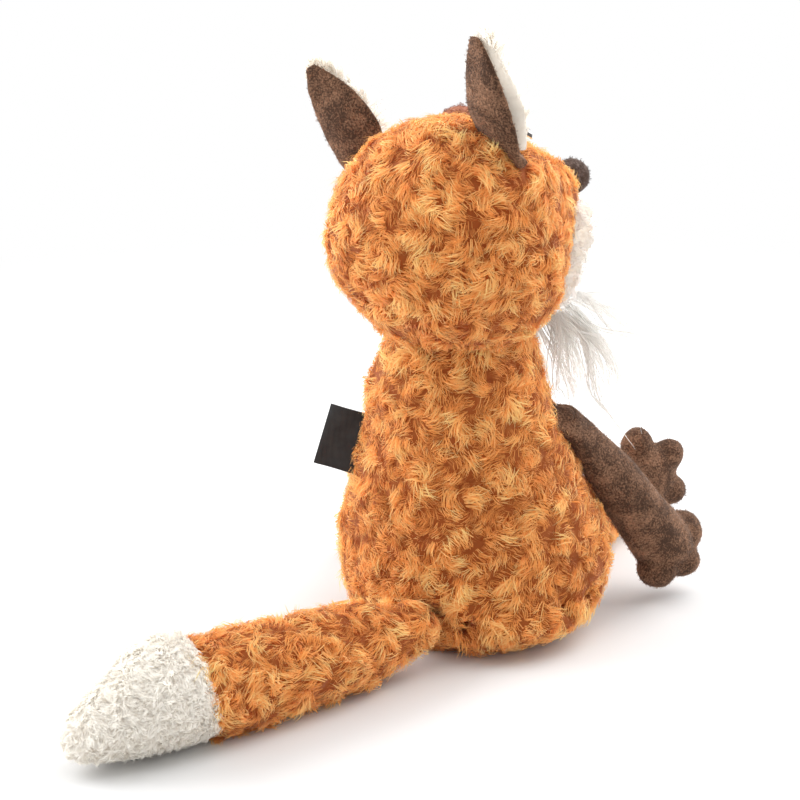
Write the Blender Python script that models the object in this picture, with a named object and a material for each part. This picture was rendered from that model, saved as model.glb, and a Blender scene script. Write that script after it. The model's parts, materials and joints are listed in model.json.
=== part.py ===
"""A seated plush fox: stuffed body, turned head, hanging arms, legs with paws and a long tail.

The fox faces -Y and sits on Z = 0. Its own left is +X. The neck, shoulders, hips, tail root
and ear seams turn, and each of those pieces has its parent empty on its joint's axis.
"""

import math

import bmesh
import bpy
from mathutils import Matrix, Vector

# Cloth and clearances
cloth = 0.003
head_cloth = 0.0035
gap = 0.0003
turning_gap = 0.0006
filling_ease = 1.45
body_filling_ease = 1.2
limb_filling_ease = 1.22
arm_filling_root_share = 0.075
arm_filling_share = 0.93
leg_filling_root_share = -0.045
palm_set_back_share = 0.38
foot_filling_ease = 1.6
foot_filling_share = 0.84
tail_filling_root_share = -0.031
tail_filling_share = 0.94
overrun = 0.02

# Body
neck_height = 0.150
body_half_width = 0.0618
neck_dome_rise = 0.010
neck_hole_radius = 0.018
body_segments = 22
seat_segments = 16
body_profile_shares = (
    (0.0, 0.55), (0.027, 0.71), (0.08, 0.88), (0.15, 0.968), (0.25, 1.0), (0.37, 0.968),
    (0.49, 0.893), (0.61, 0.793), (0.72, 0.698), (0.83, 0.615), (0.93, 0.548), (1.0, 0.522),
)
body_lean_shares = (
    (0.0, 0.0), (0.14, -0.06), (0.28, -0.105), (0.40, -0.09), (0.55, -0.02), (0.70, 0.06),
    (0.84, 0.11), (0.92, 0.115), (1.0, 0.115),
)
body_depth_shares = (
    (0.0, 0.95), (0.25, 0.93), (0.60, 0.94), (0.85, 0.98), (0.92, 1.0), (1.0, 1.0),
)

# Pellet bag in the seat
pellet_bag_height = 0.026
pellet_bag_half_width = 0.042
pellet_bag_shares = ((0.0, 0.70), (0.12, 0.90), (0.40, 1.0), (0.65, 0.97), (0.88, 0.80), (1.0, 0.55))

# Head, in its own frame, where it faces -Y
head_half_width = 0.0585
head_half_depth = 0.0540
head_above_centre = 0.0515
head_below_centre = 0.0590
head_centre_height = 0.1985
head_set_back = 0.004
head_turn = math.radians(-22)
head_tilt = math.radians(16.5)
snout_reach = 0.0255
snout_azimuth_spread = math.radians(23)
snout_latitude = math.radians(2)
snout_latitude_spread = math.radians(30)
head_columns = 20
head_rows = 12

# White face panel
panel_columns = 2
panel_low_row = 3
panel_high_row = 6

# Nose
nose_half_width = 0.0095
nose_half_depth = 0.0075
nose_half_height = 0.0080
nose_latitude = math.radians(9)

# Beard under the chin
beard_length = 0.026
beard_half_width = 0.013
beard_half_depth = 0.0055
beard_latitude = math.radians(-38)
beard_shares = (
    (0.0, 0.8, 0.8), (0.10, 1.0, 1.0), (0.35, 0.95, 0.9), (0.65, 0.62, 0.65), (0.88, 0.28, 0.35),
    (1.0, 0.10, 0.15),
)

# Eyes and eyelids
eye_radius = 0.0080
eye_height = 0.0050
eye_azimuth = math.radians(17)
eye_latitude = math.radians(45)
eyelid_radius = 0.0125
eyelid_azimuth = math.radians(24.5)
eyelid_latitude = math.radians(57)
eye_segments = 14
eye_rings = 5
shank_radius = 0.0022
shank_clearance = 0.0004
shank_spare = 0.002
washer_radius = 0.006
washer_thickness = 0.0015
washer_ease = 1.25

# Ears
ear_length = 0.054
ear_half_width = 0.0155
ear_layer = 0.0026
ear_cup = 0.0045
ear_azimuth = math.radians(93)
ear_latitude = math.radians(41)
ear_seam_forward = math.radians(0)
ear_splay = math.radians(16)
ear_lean_back = math.radians(15)
ear_square_share = 0.4
ear_bead_radius = 0.0030
ear_seat_height = 0.0010
ear_groove_clearance = 0.0007
ear_outline_shares = (
    (0.0, 0.98), (0.12, 1.0), (0.30, 0.97), (0.48, 0.88), (0.64, 0.75), (0.78, 0.58), (0.90, 0.38),
    (1.0, 0.16),
)
ear_lining_margin = 0.0012
ear_rows = 8
ear_columns = 6

# Arms
shoulder_height = 0.1055
shoulder_azimuth = math.radians(66)
seat_sink = 0.0016
seat_margin = 0.0025
arm_length = 0.1195
arm_half_width = 0.0153
arm_half_thickness = 0.0135
arm_bend = 0.0070
arm_clearance = 0.0028
arm_out = math.radians(17)
arm_forward = math.radians(35)
arm_segments = 10
arm_shares = (
    (-0.012, 0.72, 0.76), (0.07, 0.74, 0.80), (0.15, 0.76, 0.82), (0.26, 0.81, 0.85), (0.46, 0.89, 0.95),
    (0.68, 0.96, 1.0), (0.83, 1.10, 1.0), (0.915, 1.10, 0.88), (0.965, 0.86, 0.66), (0.992, 0.50, 0.36),
)
toe_long_share = 1.1
toe_columns = 10
toe_rows = 6
hand_toe_radius = 0.0090
hand_toe_spread = math.radians(50)
hand_toe_reach = 0.0185
hand_roll = math.radians(-45)

# Legs and feet
hip_azimuth = math.radians(24)
floor_gap = 0.0008
leg_radius = 0.0135
hip_sink = 0.0020
leg_length = 0.080
leg_inward = math.radians(3)
leg_segments = 12
leg_shares = (
    (-0.16, 0.35), (-0.135, 0.62), (-0.085, 0.88), (0.0, 1.0), (0.14, 0.955), (0.50, 1.02), (1.0, 0.98),
)
foot_length = 0.052
foot_half_width = 0.0190
foot_half_thickness = 0.0140
foot_toe_radius = 0.0090
foot_toe_spread = math.radians(62)
foot_toe_reach = 0.0185
foot_rise = math.radians(34)
foot_out = math.radians(42)
foot_roll = math.radians(95)
foot_shares = (
    (0.0, 0.70, 0.94), (0.16, 0.78, 1.0), (0.36, 0.90, 1.0), (0.58, 1.02, 0.98), (0.76, 1.0, 0.86),
    (0.90, 0.78, 0.66), (0.975, 0.46, 0.38),
)

# Tail
tail_root_height = 0.0200
tail_sink = 0.0020
tail_length = 0.178
tail_out = math.radians(28)
tail_radius = 0.0200
tail_sleeve_share = 0.60
tail_segments = 14
tail_root_shares = ((-0.074, 0.22), (-0.062, 0.46), (-0.036, 0.66), (0.0, 0.74))
tail_shares = (
    (0.06, 0.71), (0.14, 0.76), (0.26, 0.83), (0.40, 0.88), (0.52, 0.93), (0.60, 0.96), (0.68, 0.99),
    (0.78, 1.0), (0.86, 0.93), (0.92, 0.80), (0.962, 0.60), (0.988, 0.36),
)

# Side label
label_height = 0.030
label_reach = 0.0205
label_thickness = 0.0010
label_middle_height = 0.092
label_azimuth = math.radians(112)
label_tilt = math.radians(-18)


def material(name, colour, roughness):
    """A Principled material with the given linear colour and roughness."""
    made = bpy.data.materials.new(name)
    made.use_nodes = True
    shader = made.node_tree.nodes["Principled BSDF"]
    shader.inputs["Base Color"].default_value = (*colour, 1)
    shader.inputs["Roughness"].default_value = roughness
    shader.inputs["Metallic"].default_value = 0
    return made


def clear_scene():
    for old in list(bpy.data.objects):
        bpy.data.objects.remove(old)


def keep(name, mesh_builder, finish, parent=None):
    """An object made from a bmesh, given its material and shaded smooth with sharp seams."""
    mesh_builder.normal_update()
    bmesh.ops.recalc_face_normals(mesh_builder, faces=mesh_builder.faces)
    mesh = bpy.data.meshes.new(name)
    mesh_builder.to_mesh(mesh)
    mesh_builder.free()
    mesh.shade_smooth()
    mesh.set_sharp_from_angle(angle=math.radians(50))
    made = bpy.data.objects.new(name, mesh)
    bpy.context.scene.collection.objects.link(made)
    if finish:
        made.data.materials.append(finish)
    if parent:
        made.parent = parent
        made.matrix_parent_inverse = parent.matrix_world.inverted()
    return made


def pivot(name, place, parent=None):
    """An empty on a joint's axis, which the pieces that turn there are parented to."""
    made = bpy.data.objects.new(name, None)
    bpy.context.scene.collection.objects.link(made)
    if parent:
        made.parent = parent
        made.matrix_parent_inverse = parent.matrix_world.inverted()
    made.matrix_world = Matrix.Translation(place)
    bpy.context.view_layer.update()
    return made


def cutter(name, mesh_builder):
    """A helper that cuts other pieces and isn't a piece itself."""
    made = keep(name, mesh_builder, None)
    made.hide_render = True
    made.display_type = "WIRE"
    return made


def cut(target, *tools):
    for tool in tools:
        boolean = target.modifiers.new("cut by " + tool.name, "BOOLEAN")
        boolean.operation = "DIFFERENCE"
        boolean.solver = "EXACT"
        boolean.object = tool


def join(target, *tools):
    for tool in tools:
        boolean = target.modifiers.new("joined with " + tool.name, "BOOLEAN")
        boolean.operation = "UNION"
        boolean.solver = "EXACT"
        boolean.object = tool


def wall(target, thickness, outwards=False):
    """Gives an open surface its cloth, on the inner side unless told otherwise."""
    solidify = target.modifiers.new("cloth", "SOLIDIFY")
    solidify.thickness = thickness
    solidify.offset = 1 if outwards else -1
    solidify.use_even_offset = True


def along(table, place):
    """The value at a place in a table of (place, value), on one smooth curve through its points."""
    places = [row[0] for row in table]
    values = [row[1] for row in table]
    last = len(table) - 1
    if place <= places[0]:
        return values[0]
    if place >= places[last]:
        return values[last]
    i = max(k for k in range(last) if places[k] <= place)

    def slope(k):
        low, high = max(k - 1, 0), min(k + 1, last)
        return (values[high] - values[low]) / (places[high] - places[low])

    width = places[i + 1] - places[i]
    t = (place - places[i]) / width
    return (
        (2 * t**3 - 3 * t**2 + 1) * values[i]
        + (t**3 - 2 * t**2 + t) * width * slope(i)
        + (3 * t**2 - 2 * t**3) * values[i + 1]
        + (t**3 - t**2) * width * slope(i + 1)
    )


def columns_of(table):
    """The tables of (place, value) for each further column of a wider table."""
    return [[(row[0], row[k]) for row in table] for k in range(1, len(table[0]))]


# Body form


def neck_radius():
    return body_half_width * body_profile_shares[-1][1]


def neck_axis():
    return Vector((0, body_half_width * body_lean_shares[-1][1], 0))


def dome_radius():
    """The radius of the round cap on the neck, on which the head turns."""
    return (neck_radius() ** 2 + neck_dome_rise**2) / (2 * neck_dome_rise)


def dome_centre():
    return neck_axis() + Vector((0, 0, neck_height + neck_dome_rise - dome_radius()))


def body_place(radius, azimuth, height):
    """A point of the body from its radius at a height. Azimuth 0 is the front, and 90 degrees is +X."""
    share = height / neck_height
    lean = body_half_width * along(body_lean_shares, share)
    depth = along(body_depth_shares, share)
    return Vector((radius * math.sin(azimuth), lean - radius * depth * math.cos(azimuth), height))


def body_surface(height, azimuth):
    radius = body_half_width * along(body_profile_shares, height / neck_height)
    return body_place(radius, azimuth, height)


def body_normal(height, azimuth):
    step = neck_height / 200
    turn = math.radians(1)
    up = body_surface(height + step, azimuth) - body_surface(height - step, azimuth)
    around = body_surface(height, azimuth + turn) - body_surface(height, azimuth - turn)
    return around.cross(up).normalized()


def body_profile():
    """(radius, height) from the middle of the seat to the edge of the neck hole."""
    points = [(0, 0)]
    points += [(body_half_width * share, neck_height * place) for place, share in body_profile_shares]
    for radius in (0.75 * neck_radius(), neck_hole_radius):
        height = dome_centre().z + math.sqrt(dome_radius() ** 2 - radius**2)
        points.append((radius, height))
    return points


def inset(points, distance):
    """The same outline moved in by a distance, square to its own line."""
    moved = []
    for i, (radius, height) in enumerate(points):
        before = points[max(i - 1, 0)]
        after = points[min(i + 1, len(points) - 1)]
        run, rise = after[0] - before[0], after[1] - before[1]
        length = math.hypot(run, rise)
        inward = (-rise / length, run / length)
        new_radius = 0 if radius == 0 else max(radius + distance * inward[0], 0)
        moved.append((new_radius, height + distance * (1 if radius == 0 and i == 0 else inward[1])))
    return moved


def turned(points, segments):
    """A bmesh with an outline of (radius, height) turned about Z."""
    bm = bmesh.new()
    verts = [bm.verts.new((radius, 0, height)) for radius, height in points]
    edges = [bm.edges.new(pair) for pair in zip(verts, verts[1:])]
    bmesh.ops.spin(
        bm, geom=verts + edges, axis=(0, 0, 1), cent=(0, 0, 0), dvec=(0, 0, 0),
        angle=2 * math.pi, steps=segments, use_merge=True,
    )
    bmesh.ops.remove_doubles(bm, verts=bm.verts, dist=1e-6)
    return bm


def shaped_as_body(bm):
    for vert in bm.verts:
        radius = math.hypot(vert.co.x, vert.co.y)
        azimuth = math.atan2(vert.co.x, -vert.co.y)
        vert.co = body_place(radius, azimuth, vert.co.z)
    return bm


def ball(centre, radius, columns, rows):
    bm = bmesh.new()
    bmesh.ops.create_uvsphere(bm, u_segments=columns, v_segments=rows, radius=radius)
    bmesh.ops.translate(bm, verts=bm.verts, vec=centre)
    return bm


def rod(start, direction, radius, length, segments):
    """A closed cylinder from a start point along a direction."""
    bm = bmesh.new()
    turn = direction.to_track_quat("Z", "Y").to_matrix().to_4x4()
    middle = start + direction * (length / 2)
    bmesh.ops.create_cone(
        bm, cap_ends=True, segments=segments, radius1=radius, radius2=radius, depth=length,
        matrix=Matrix.Translation(middle) @ turn,
    )
    return bm


def make_body(orange, wadding, canvas, tools):
    skin = keep("body_skin", shaped_as_body(turned(body_profile(), body_segments)), orange)
    wall(skin, cloth)
    cut(skin, *tools)

    floor_of_filling = cloth + gap + pellet_bag_height + gap
    inner = inset(body_profile(), (cloth + gap) * body_filling_ease)
    inner = [point for point in inner if point[1] > floor_of_filling]
    start_radius = inner[0][0] - cloth / 2
    outline = [(0, floor_of_filling), (start_radius, floor_of_filling)] + inner
    outline.append((0, inner[-1][1]))
    filling = keep("body_filling", shaped_as_body(turned(outline, body_segments)), wadding)
    cut(filling, *tools)

    bottom = cloth + gap
    bag = [(0, bottom)]
    bag += [(pellet_bag_half_width * share, bottom + pellet_bag_height * place)
            for place, share in pellet_bag_shares]
    bag.append((0, bottom + pellet_bag_height))
    keep("pellet_bag", shaped_as_body(turned(bag, seat_segments)), canvas)


# Head form


def head_place():
    """The head's own frame in the fox's: turned about the neck, tilted, and set back a little."""
    turn = Matrix.Rotation(head_turn, 4, "Z")
    back = turn @ Vector((0, head_set_back, 0))
    centre = neck_axis() + back + Vector((0, 0, head_centre_height))
    return Matrix.Translation(centre) @ turn @ Matrix.Rotation(head_tilt, 4, "Y")


def head_point(azimuth, latitude, swell=0.0):
    """A point of the head in its own frame, moved outwards by swell."""
    height = head_above_centre if latitude > 0 else head_below_centre
    across = math.cos(latitude) * math.sin(azimuth)
    ahead = math.cos(latitude) * math.cos(azimuth)
    point = Vector((head_half_width * across, -head_half_depth * ahead, height * math.sin(latitude)))
    snout = math.exp(-((azimuth / snout_azimuth_spread) ** 2)
                     - ((latitude - snout_latitude) / snout_latitude_spread) ** 2)
    return point * (1 + (snout * snout_reach + swell) / point.length)


def head_normal(azimuth, latitude):
    step = math.radians(1)
    up = head_point(azimuth, latitude + step) - head_point(azimuth, latitude - step)
    around = head_point(azimuth + step, latitude) - head_point(azimuth - step, latitude)
    return around.cross(up).normalized()


def head_grid():
    """The round grid of triangles that the head's forms are made from."""
    bm = bmesh.new()
    bmesh.ops.create_uvsphere(bm, u_segments=head_columns, v_segments=head_rows, radius=1)
    bmesh.ops.triangulate(bm, faces=bm.faces, quad_method="FIXED")
    return bm


def head_form(swell):
    """The head's whole outer form, closed, in the fox's frame."""
    bm = head_grid()
    for vert in bm.verts:
        latitude = math.asin(max(-1, min(1, vert.co.z)))
        azimuth = math.atan2(vert.co.x, -vert.co.y)
        vert.co = head_place() @ head_point(azimuth, latitude, swell)
    return bm


def face_panel_form(swell):
    """The part of the head's form that the white panel covers, open at its edge."""
    bm = head_grid()
    step_across = 2 * math.pi / head_columns
    step_up = math.pi / head_rows
    widest = (panel_columns + 0.1) * step_across
    lowest = (panel_low_row - 0.1) * step_up - math.pi / 2
    highest = (panel_high_row + 0.1) * step_up - math.pi / 2
    outside = []
    for vert in bm.verts:
        latitude = math.asin(max(-1, min(1, vert.co.z)))
        azimuth = math.atan2(vert.co.x, -vert.co.y)
        if abs(azimuth) > widest or not lowest < latitude < highest:
            outside.append(vert)
        vert.co = head_place() @ head_point(azimuth, latitude, swell)
    bmesh.ops.delete(bm, geom=outside, context="VERTS")
    return bm


def eye_frame(side):
    """The point on the head where an eye's back sits, and the way the eye looks."""
    azimuth = side * eye_azimuth
    place = head_place()
    point = place @ head_point(azimuth, eye_latitude, gap)
    ahead = place.to_3x3() @ head_normal(azimuth, eye_latitude)
    return point, ahead.normalized()


def ear_frame(side):
    """The middle of an ear's base seam, and the ways along the seam, up the ear and out of its back."""
    place = head_place()
    azimuth = side * ear_azimuth
    normal = head_normal(azimuth, ear_latitude)
    seat = head_point(azimuth, ear_latitude) + normal * ear_seat_height
    step = math.radians(1)
    downhill = (head_point(azimuth, ear_latitude - step) - head_point(azimuth, ear_latitude)).normalized()
    seam = Matrix.Rotation(-side * ear_seam_forward, 3, normal) @ downhill
    up = Vector((
        side * math.sin(ear_splay) * math.cos(ear_lean_back),
        math.sin(ear_lean_back),
        math.cos(ear_splay) * math.cos(ear_lean_back),
    ))
    back = up.cross(seam) * side
    turn = place.to_3x3()
    return place @ seat, (turn @ seam).normalized(), (turn @ up).normalized(), (turn @ back).normalized()


def make_head(orange, white, velour, wadding, neck, tools):
    form = cutter("head_form_swollen", head_form(gap * filling_ease))
    over_panel = cutter("head_form_over_panel", head_form((cloth + gap) * filling_ease))
    dish = cutter("neck_dish", ball(dome_centre(), dish_radius(), body_segments, body_segments))

    skin = keep("head_skin", head_form(0), orange, neck)
    wall(skin, head_cloth)
    cut(skin, dish, *tools["skin"])

    filling = keep("head_filling", head_form(-(head_cloth + gap) * filling_ease), wadding, neck)
    cut(filling, dish, *tools["filling"])

    panel = keep("face_panel", face_panel_form(gap * filling_ease), white, neck)
    wall(panel, cloth, outwards=True)
    cut(panel, dish)

    place = head_place()
    nose_centre = place @ head_point(0, nose_latitude, cloth)
    nose_mesh = ball(Vector((0, 0, 0)), 1, 14, 8)
    size = Matrix.Diagonal((nose_half_width, nose_half_depth, nose_half_height, 1))
    turn = place.to_3x3().to_4x4()
    nose_mesh.transform(Matrix.Translation(nose_centre) @ turn @ size)
    nose = keep("nose", nose_mesh, velour, neck)
    cut(nose, form)

    make_beard(white, neck, over_panel)
    return form


def dish_radius():
    """The hollow under the head, which clears the faceted neck cap at every turn."""
    return (dome_radius() + turning_gap) / math.cos(math.pi / body_segments)


def make_beard(white, neck, over_panel):
    place = head_place()
    root = place @ head_point(0, beard_latitude, 0)
    turn = place.to_3x3()
    down = Vector((0, 0, -1))
    across = (turn @ Vector((1, 0, 0))).normalized()
    beard = swept(
        [root, root + down * (beard_length / 2), root + down * beard_length],
        beard_shares, beard_half_width, beard_half_depth, across, 12,
    )
    beard_object = keep("beard", beard, white, neck)
    cut(beard_object, over_panel)


def make_eye(side, word, eye_plastic, washer_plastic, rust, neck, form):
    seat, ahead = eye_frame(side)
    turn = ahead.to_track_quat("Z", "Y").to_matrix().to_4x4()
    shank_length = head_cloth + washer_thickness + shank_spare + 2 * gap
    angles = [k * math.pi / 2 / eye_rings for k in range(eye_rings)]
    dome = [(eye_radius * math.cos(angle), eye_height * math.sin(angle)) for angle in angles]
    outline = [(0, -shank_length), (shank_radius, -shank_length), (shank_radius, 0)] + dome
    outline.append((0, eye_height))
    eye = turned(outline, eye_segments)
    eye.transform(Matrix.Translation(seat) @ turn)
    keep("eye_" + word, eye, eye_plastic, neck)

    inside = -(head_cloth + 2 * gap) * washer_ease
    hole = shank_radius + shank_clearance / 2
    ring = turned(
        [(hole, inside), (washer_radius, inside), (washer_radius, inside - washer_thickness),
         (hole, inside - washer_thickness), (hole, inside)], 12,
    )
    ring.transform(Matrix.Translation(seat) @ turn)
    keep("eye_washer_" + word, ring, washer_plastic, neck)

    lid_centre = head_place() @ head_point(side * eyelid_azimuth, eyelid_latitude)
    lid = keep("eyelid_" + word, ball(lid_centre, eyelid_radius, 16, 8), rust, neck)
    behind = seat - ahead * overrun
    room = cutter("eye_room_" + word, rod(behind, ahead, eye_radius + 2 * gap, 3 * overrun, 20))
    cut(lid, room, form)


def eye_tools(side, word):
    """Cutters for a shank's hole in the skin and for the room that its washer takes in the filling."""
    seat, ahead = eye_frame(side)
    start = seat + ahead * overrun / 4
    hole = cutter("shank_hole_" + word, rod(start, -ahead, shank_radius + shank_clearance, overrun, 12))
    room = cutter("washer_room_" + word, rod(start, -ahead, washer_radius + 2 * gap, overrun, 12))
    return hole, room


def ear_patch(side, half_width, length, start, offset):
    """A leaf-shaped surface on the ear's seam, at an offset out of its back.

    Its rows run along the slanted seam at the base, and square to the ear further up.
    """
    seat, seam, up, back = ear_frame(side)
    square = (seam - up * seam.dot(up)).normalized()
    bm = bmesh.new()
    bmesh.ops.create_grid(bm, x_segments=ear_columns, y_segments=ear_rows, size=0.5)
    for vert in bm.verts:
        share = vert.co.y + 0.5
        across = 2 * vert.co.x
        width = half_width * along(ear_outline_shares, share)
        squared = min(share / ear_square_share, 1)
        squared = squared * squared * (3 - 2 * squared)
        row_way = seam.lerp(square, squared).normalized()
        hollow = ear_cup * (1 - across**2) * math.sin(math.pi * min(share * 1.25, 1))
        vert.co = (
            seat + row_way * (across * width) + up * (start + share * (length - start))
            + back * (offset + hollow)
        )
    return bm


def make_ear(side, word, velour, white, neck):
    seat, seam, up, back = ear_frame(side)
    hinge = pivot("ear_pivot_" + word, seat, neck)

    patch = ear_patch(side, ear_half_width, ear_length, 0, gap / 2)
    ear_back = keep("ear_back_" + word, patch, velour, hinge)
    thicken_towards(ear_back, back, ear_layer)
    bead_length = 2 * ear_half_width * ear_outline_shares[0][1]
    start = seat - seam * (bead_length / 2)
    bead = cutter("ear_bead_" + word, rod(start, seam, ear_bead_radius, bead_length, 12))
    join(ear_back, bead)

    over_bead = (ear_bead_radius + gap) / up.cross(seam).length
    half_width = ear_half_width - ear_lining_margin
    patch = ear_patch(side, half_width, ear_length - ear_lining_margin, over_bead, -gap / 2)
    lining = keep("ear_lining_" + word, patch, white, hinge)
    thicken_towards(lining, -back, ear_layer)


def thicken_towards(target, direction, thickness):
    """Gives a surface its layer on the side that a direction points to."""
    mesh = target.data
    mesh_normal = sum((face.normal * face.area for face in mesh.polygons), Vector())
    solidify = target.modifiers.new("layer", "SOLIDIFY")
    solidify.thickness = thickness
    solidify.offset = 1 if mesh_normal.dot(direction) > 0 else -1
    solidify.use_even_offset = False


def ear_groove(side, word):
    seat, seam, up, back = ear_frame(side)
    radius = ear_bead_radius + ear_groove_clearance
    length = 2 * ear_half_width * ear_outline_shares[0][1] + 2 * ear_groove_clearance
    return cutter("ear_groove_" + word, rod(seat - seam * (length / 2), seam, radius, length, 16))


# Limbs


def path_point(points, share):
    """A point on one smooth curve through the points, at a share of its length."""
    lengths = [0.0]
    for before, after in zip(points, points[1:]):
        lengths.append(lengths[-1] + (after - before).length)
    place = share * lengths[-1]
    if place < 0:
        return points[0] + (points[1] - points[0]).normalized() * place
    tables = [[(length, point[k]) for length, point in zip(lengths, points)] for k in range(3)]
    return Vector([along(table, place) for table in tables])


def path_tangent(points, share):
    step = 0.01
    return (path_point(points, share + step) - path_point(points, share - step)).normalized()


def swept(points, shares, half_width, half_thickness, wide_way, segments, open_start=False, open_end=False,
          shrink=0.0, start=None, end=None):
    """Rings of the given shares along a path, bridged to one surface, closed at each end not left open.

    Each row of shares is (place along the path, width share, thickness share). Shrink makes the
    form smaller all round, and start and end cut the places to a shorter stretch.
    """
    bm = bmesh.new()
    width_table, thick_table = columns_of(shares)
    places = [row[0] for row in shares]
    if start is not None:
        places = [start] + [place for place in places if place > start + 0.01]
    if end is not None:
        places = [place for place in places if place < end - 0.01] + [end]
    rings = []
    for place in places:
        centre = path_point(points, place)
        tangent = path_tangent(points, min(max(place, 0.011), 0.99))
        wide = (wide_way - tangent * wide_way.dot(tangent)).normalized()
        thick = tangent.cross(wide)
        half = (
            max(half_width * along(width_table, place) - shrink, cloth / 4),
            max(half_thickness * along(thick_table, place) - shrink, cloth / 4),
        )
        frame = Matrix((wide * half[0], thick * half[1], tangent)).transposed().to_4x4()
        frame.translation = centre
        made = bmesh.ops.create_circle(bm, cap_ends=False, segments=segments, radius=1, matrix=frame)
        rings.append(made["verts"])
    edges = [list({edge for vert in ring for edge in vert.link_edges}) for ring in rings]
    for first, second in zip(edges, edges[1:]):
        bmesh.ops.bridge_loops(bm, edges=first + second)
    if not open_start:
        bmesh.ops.contextual_create(bm, geom=edges[0])
    if not open_end:
        bmesh.ops.contextual_create(bm, geom=edges[-1])
    return bm


def round_shares(table):
    return [(place, share, share) for place, share in table]


def shoulder_frame(side):
    """The middle of the seam where an arm is sewn on, the way out of the body, and the way down the arm."""
    azimuth = side * shoulder_azimuth
    out = body_normal(shoulder_height, azimuth)
    seat = body_surface(shoulder_height, azimuth) - out * seat_sink
    down = Vector((
        side * math.sin(arm_out),
        -math.cos(arm_out) * math.sin(arm_forward),
        -math.cos(arm_out) * math.cos(arm_forward),
    ))
    return seat, out, down.normalized()


def arm_path(side):
    """From the seam straight out, round a bend and down."""
    seat, out, down = shoulder_frame(side)
    mouth = seat + out * gap
    elbow = mouth + out * arm_bend + down * arm_bend
    straight = arm_length - 2 * arm_bend
    return [
        mouth,
        mouth + out * (0.35 * arm_bend),
        mouth + out * (0.75 * arm_bend) + down * (0.25 * arm_bend),
        elbow,
        elbow + down * (0.35 * straight),
        elbow + down * (0.70 * straight),
        elbow + down * straight,
    ]


def flattened(bm, seat, out, clearance, kept=0):
    """Flattens the side of an arm that lies along the body, but for its first points that are kept."""
    for vert in list(bm.verts)[kept:]:
        height = (vert.co - seat).dot(out)
        vert.co += out * max(clearance - height, 0)


def arm_wide_way(side):
    """The way that a hand's toes are spread."""
    seat, out, down = shoulder_frame(side)
    level = (out - down * out.dot(down)).normalized()
    return Matrix.Rotation(-side * hand_roll, 3, down) @ level


def toes(name, root, ahead, wide, sizes, spare=0.0):
    """Three toes, fanned about the end of a paw, made larger all round by spare."""
    reach, spread, radius = sizes[0], sizes[1], sizes[2] + spare
    made = []
    for number, turn in enumerate((-1, 0, 1)):
        way = (ahead * math.cos(turn * spread) + wide * math.sin(turn * spread)).normalized()
        toe = ball(Vector((0, 0, 0)), 1, toe_columns, toe_rows)
        frame = way.to_track_quat("Z", "Y").to_matrix().to_4x4()
        size = Matrix.Diagonal((radius, radius, radius * toe_long_share, 1))
        toe.transform(Matrix.Translation(root + way * reach) @ frame @ size)
        made.append(cutter(f"{name}_toe_{number + 1}", toe))
    return made


def add_toes(name, target, filling, root, ahead, wide, sizes):
    """Joins the toes to a paw and makes room for them in its filling."""
    join(target, *toes(name, root, ahead, wide, sizes))
    cut(filling, *toes(name + "_room", root, ahead, wide, sizes, gap))


def make_arm(side, word, velour, wadding):
    seat, out, down = shoulder_frame(side)
    points = arm_path(side)
    wide = arm_wide_way(side)
    hinge = pivot("shoulder_pivot_" + word, seat)
    sleeve = swept(
        points, arm_shares, arm_half_width, arm_half_thickness, wide, arm_segments, open_start=True,
    )
    flattened(sleeve, seat, out, arm_clearance, kept=arm_segments)
    arm = keep("arm_" + word, sleeve, velour, hinge)
    wall(arm, cloth)
    mouth = rod(points[0], -out, arm_length / 2, overrun, seat_segments)
    cut(arm, cutter("arm_mouth_" + word, mouth))
    palm = path_point(points, arm_shares[-3][0]) - down * (palm_set_back_share * arm_half_width)
    inside = swept(
        points, arm_shares, arm_half_width, arm_half_thickness, wide, arm_segments,
        shrink=(cloth + gap) * filling_ease, start=arm_filling_root_share, end=arm_filling_share,
    )
    flattened(inside, seat, out, arm_clearance + (cloth + gap) * filling_ease)
    filling = keep("arm_filling_" + word, inside, wadding, hinge)
    sizes = (hand_toe_reach, hand_toe_spread, hand_toe_radius)
    add_toes("hand_" + word, arm, filling, palm, down, wide, sizes)


def hip_place(side):
    """The middle of the ball that a leg's root ends in."""
    height = leg_radius + floor_gap
    azimuth = side * hip_azimuth
    surface = body_surface(height, azimuth)
    return surface + Vector((0, -1, 0)) * (leg_radius - hip_sink)


def leg_path(side):
    start = hip_place(side)
    way = Vector((-side * math.sin(leg_inward), -math.cos(leg_inward), 0))
    return [start, start + way * (leg_length / 2), start + way * leg_length]


def foot_way(side):
    """The way from a foot's heel to its toes."""
    return Vector((
        side * math.cos(foot_rise) * math.sin(foot_out),
        -math.cos(foot_rise) * math.cos(foot_out),
        math.sin(foot_rise),
    ))


def foot_path(side):
    leg = leg_path(side)
    way = (leg[2] - leg[1]).normalized()
    start = leg[2] + way * (2 * gap)
    toes_way = foot_way(side)
    ankle = start + way * (0.16 * foot_length)
    return [
        start,
        ankle,
        ankle + way * (0.08 * foot_length) + toes_way * (0.16 * foot_length),
        ankle + way * (0.10 * foot_length) + toes_way * (0.74 * foot_length),
    ]


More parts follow.
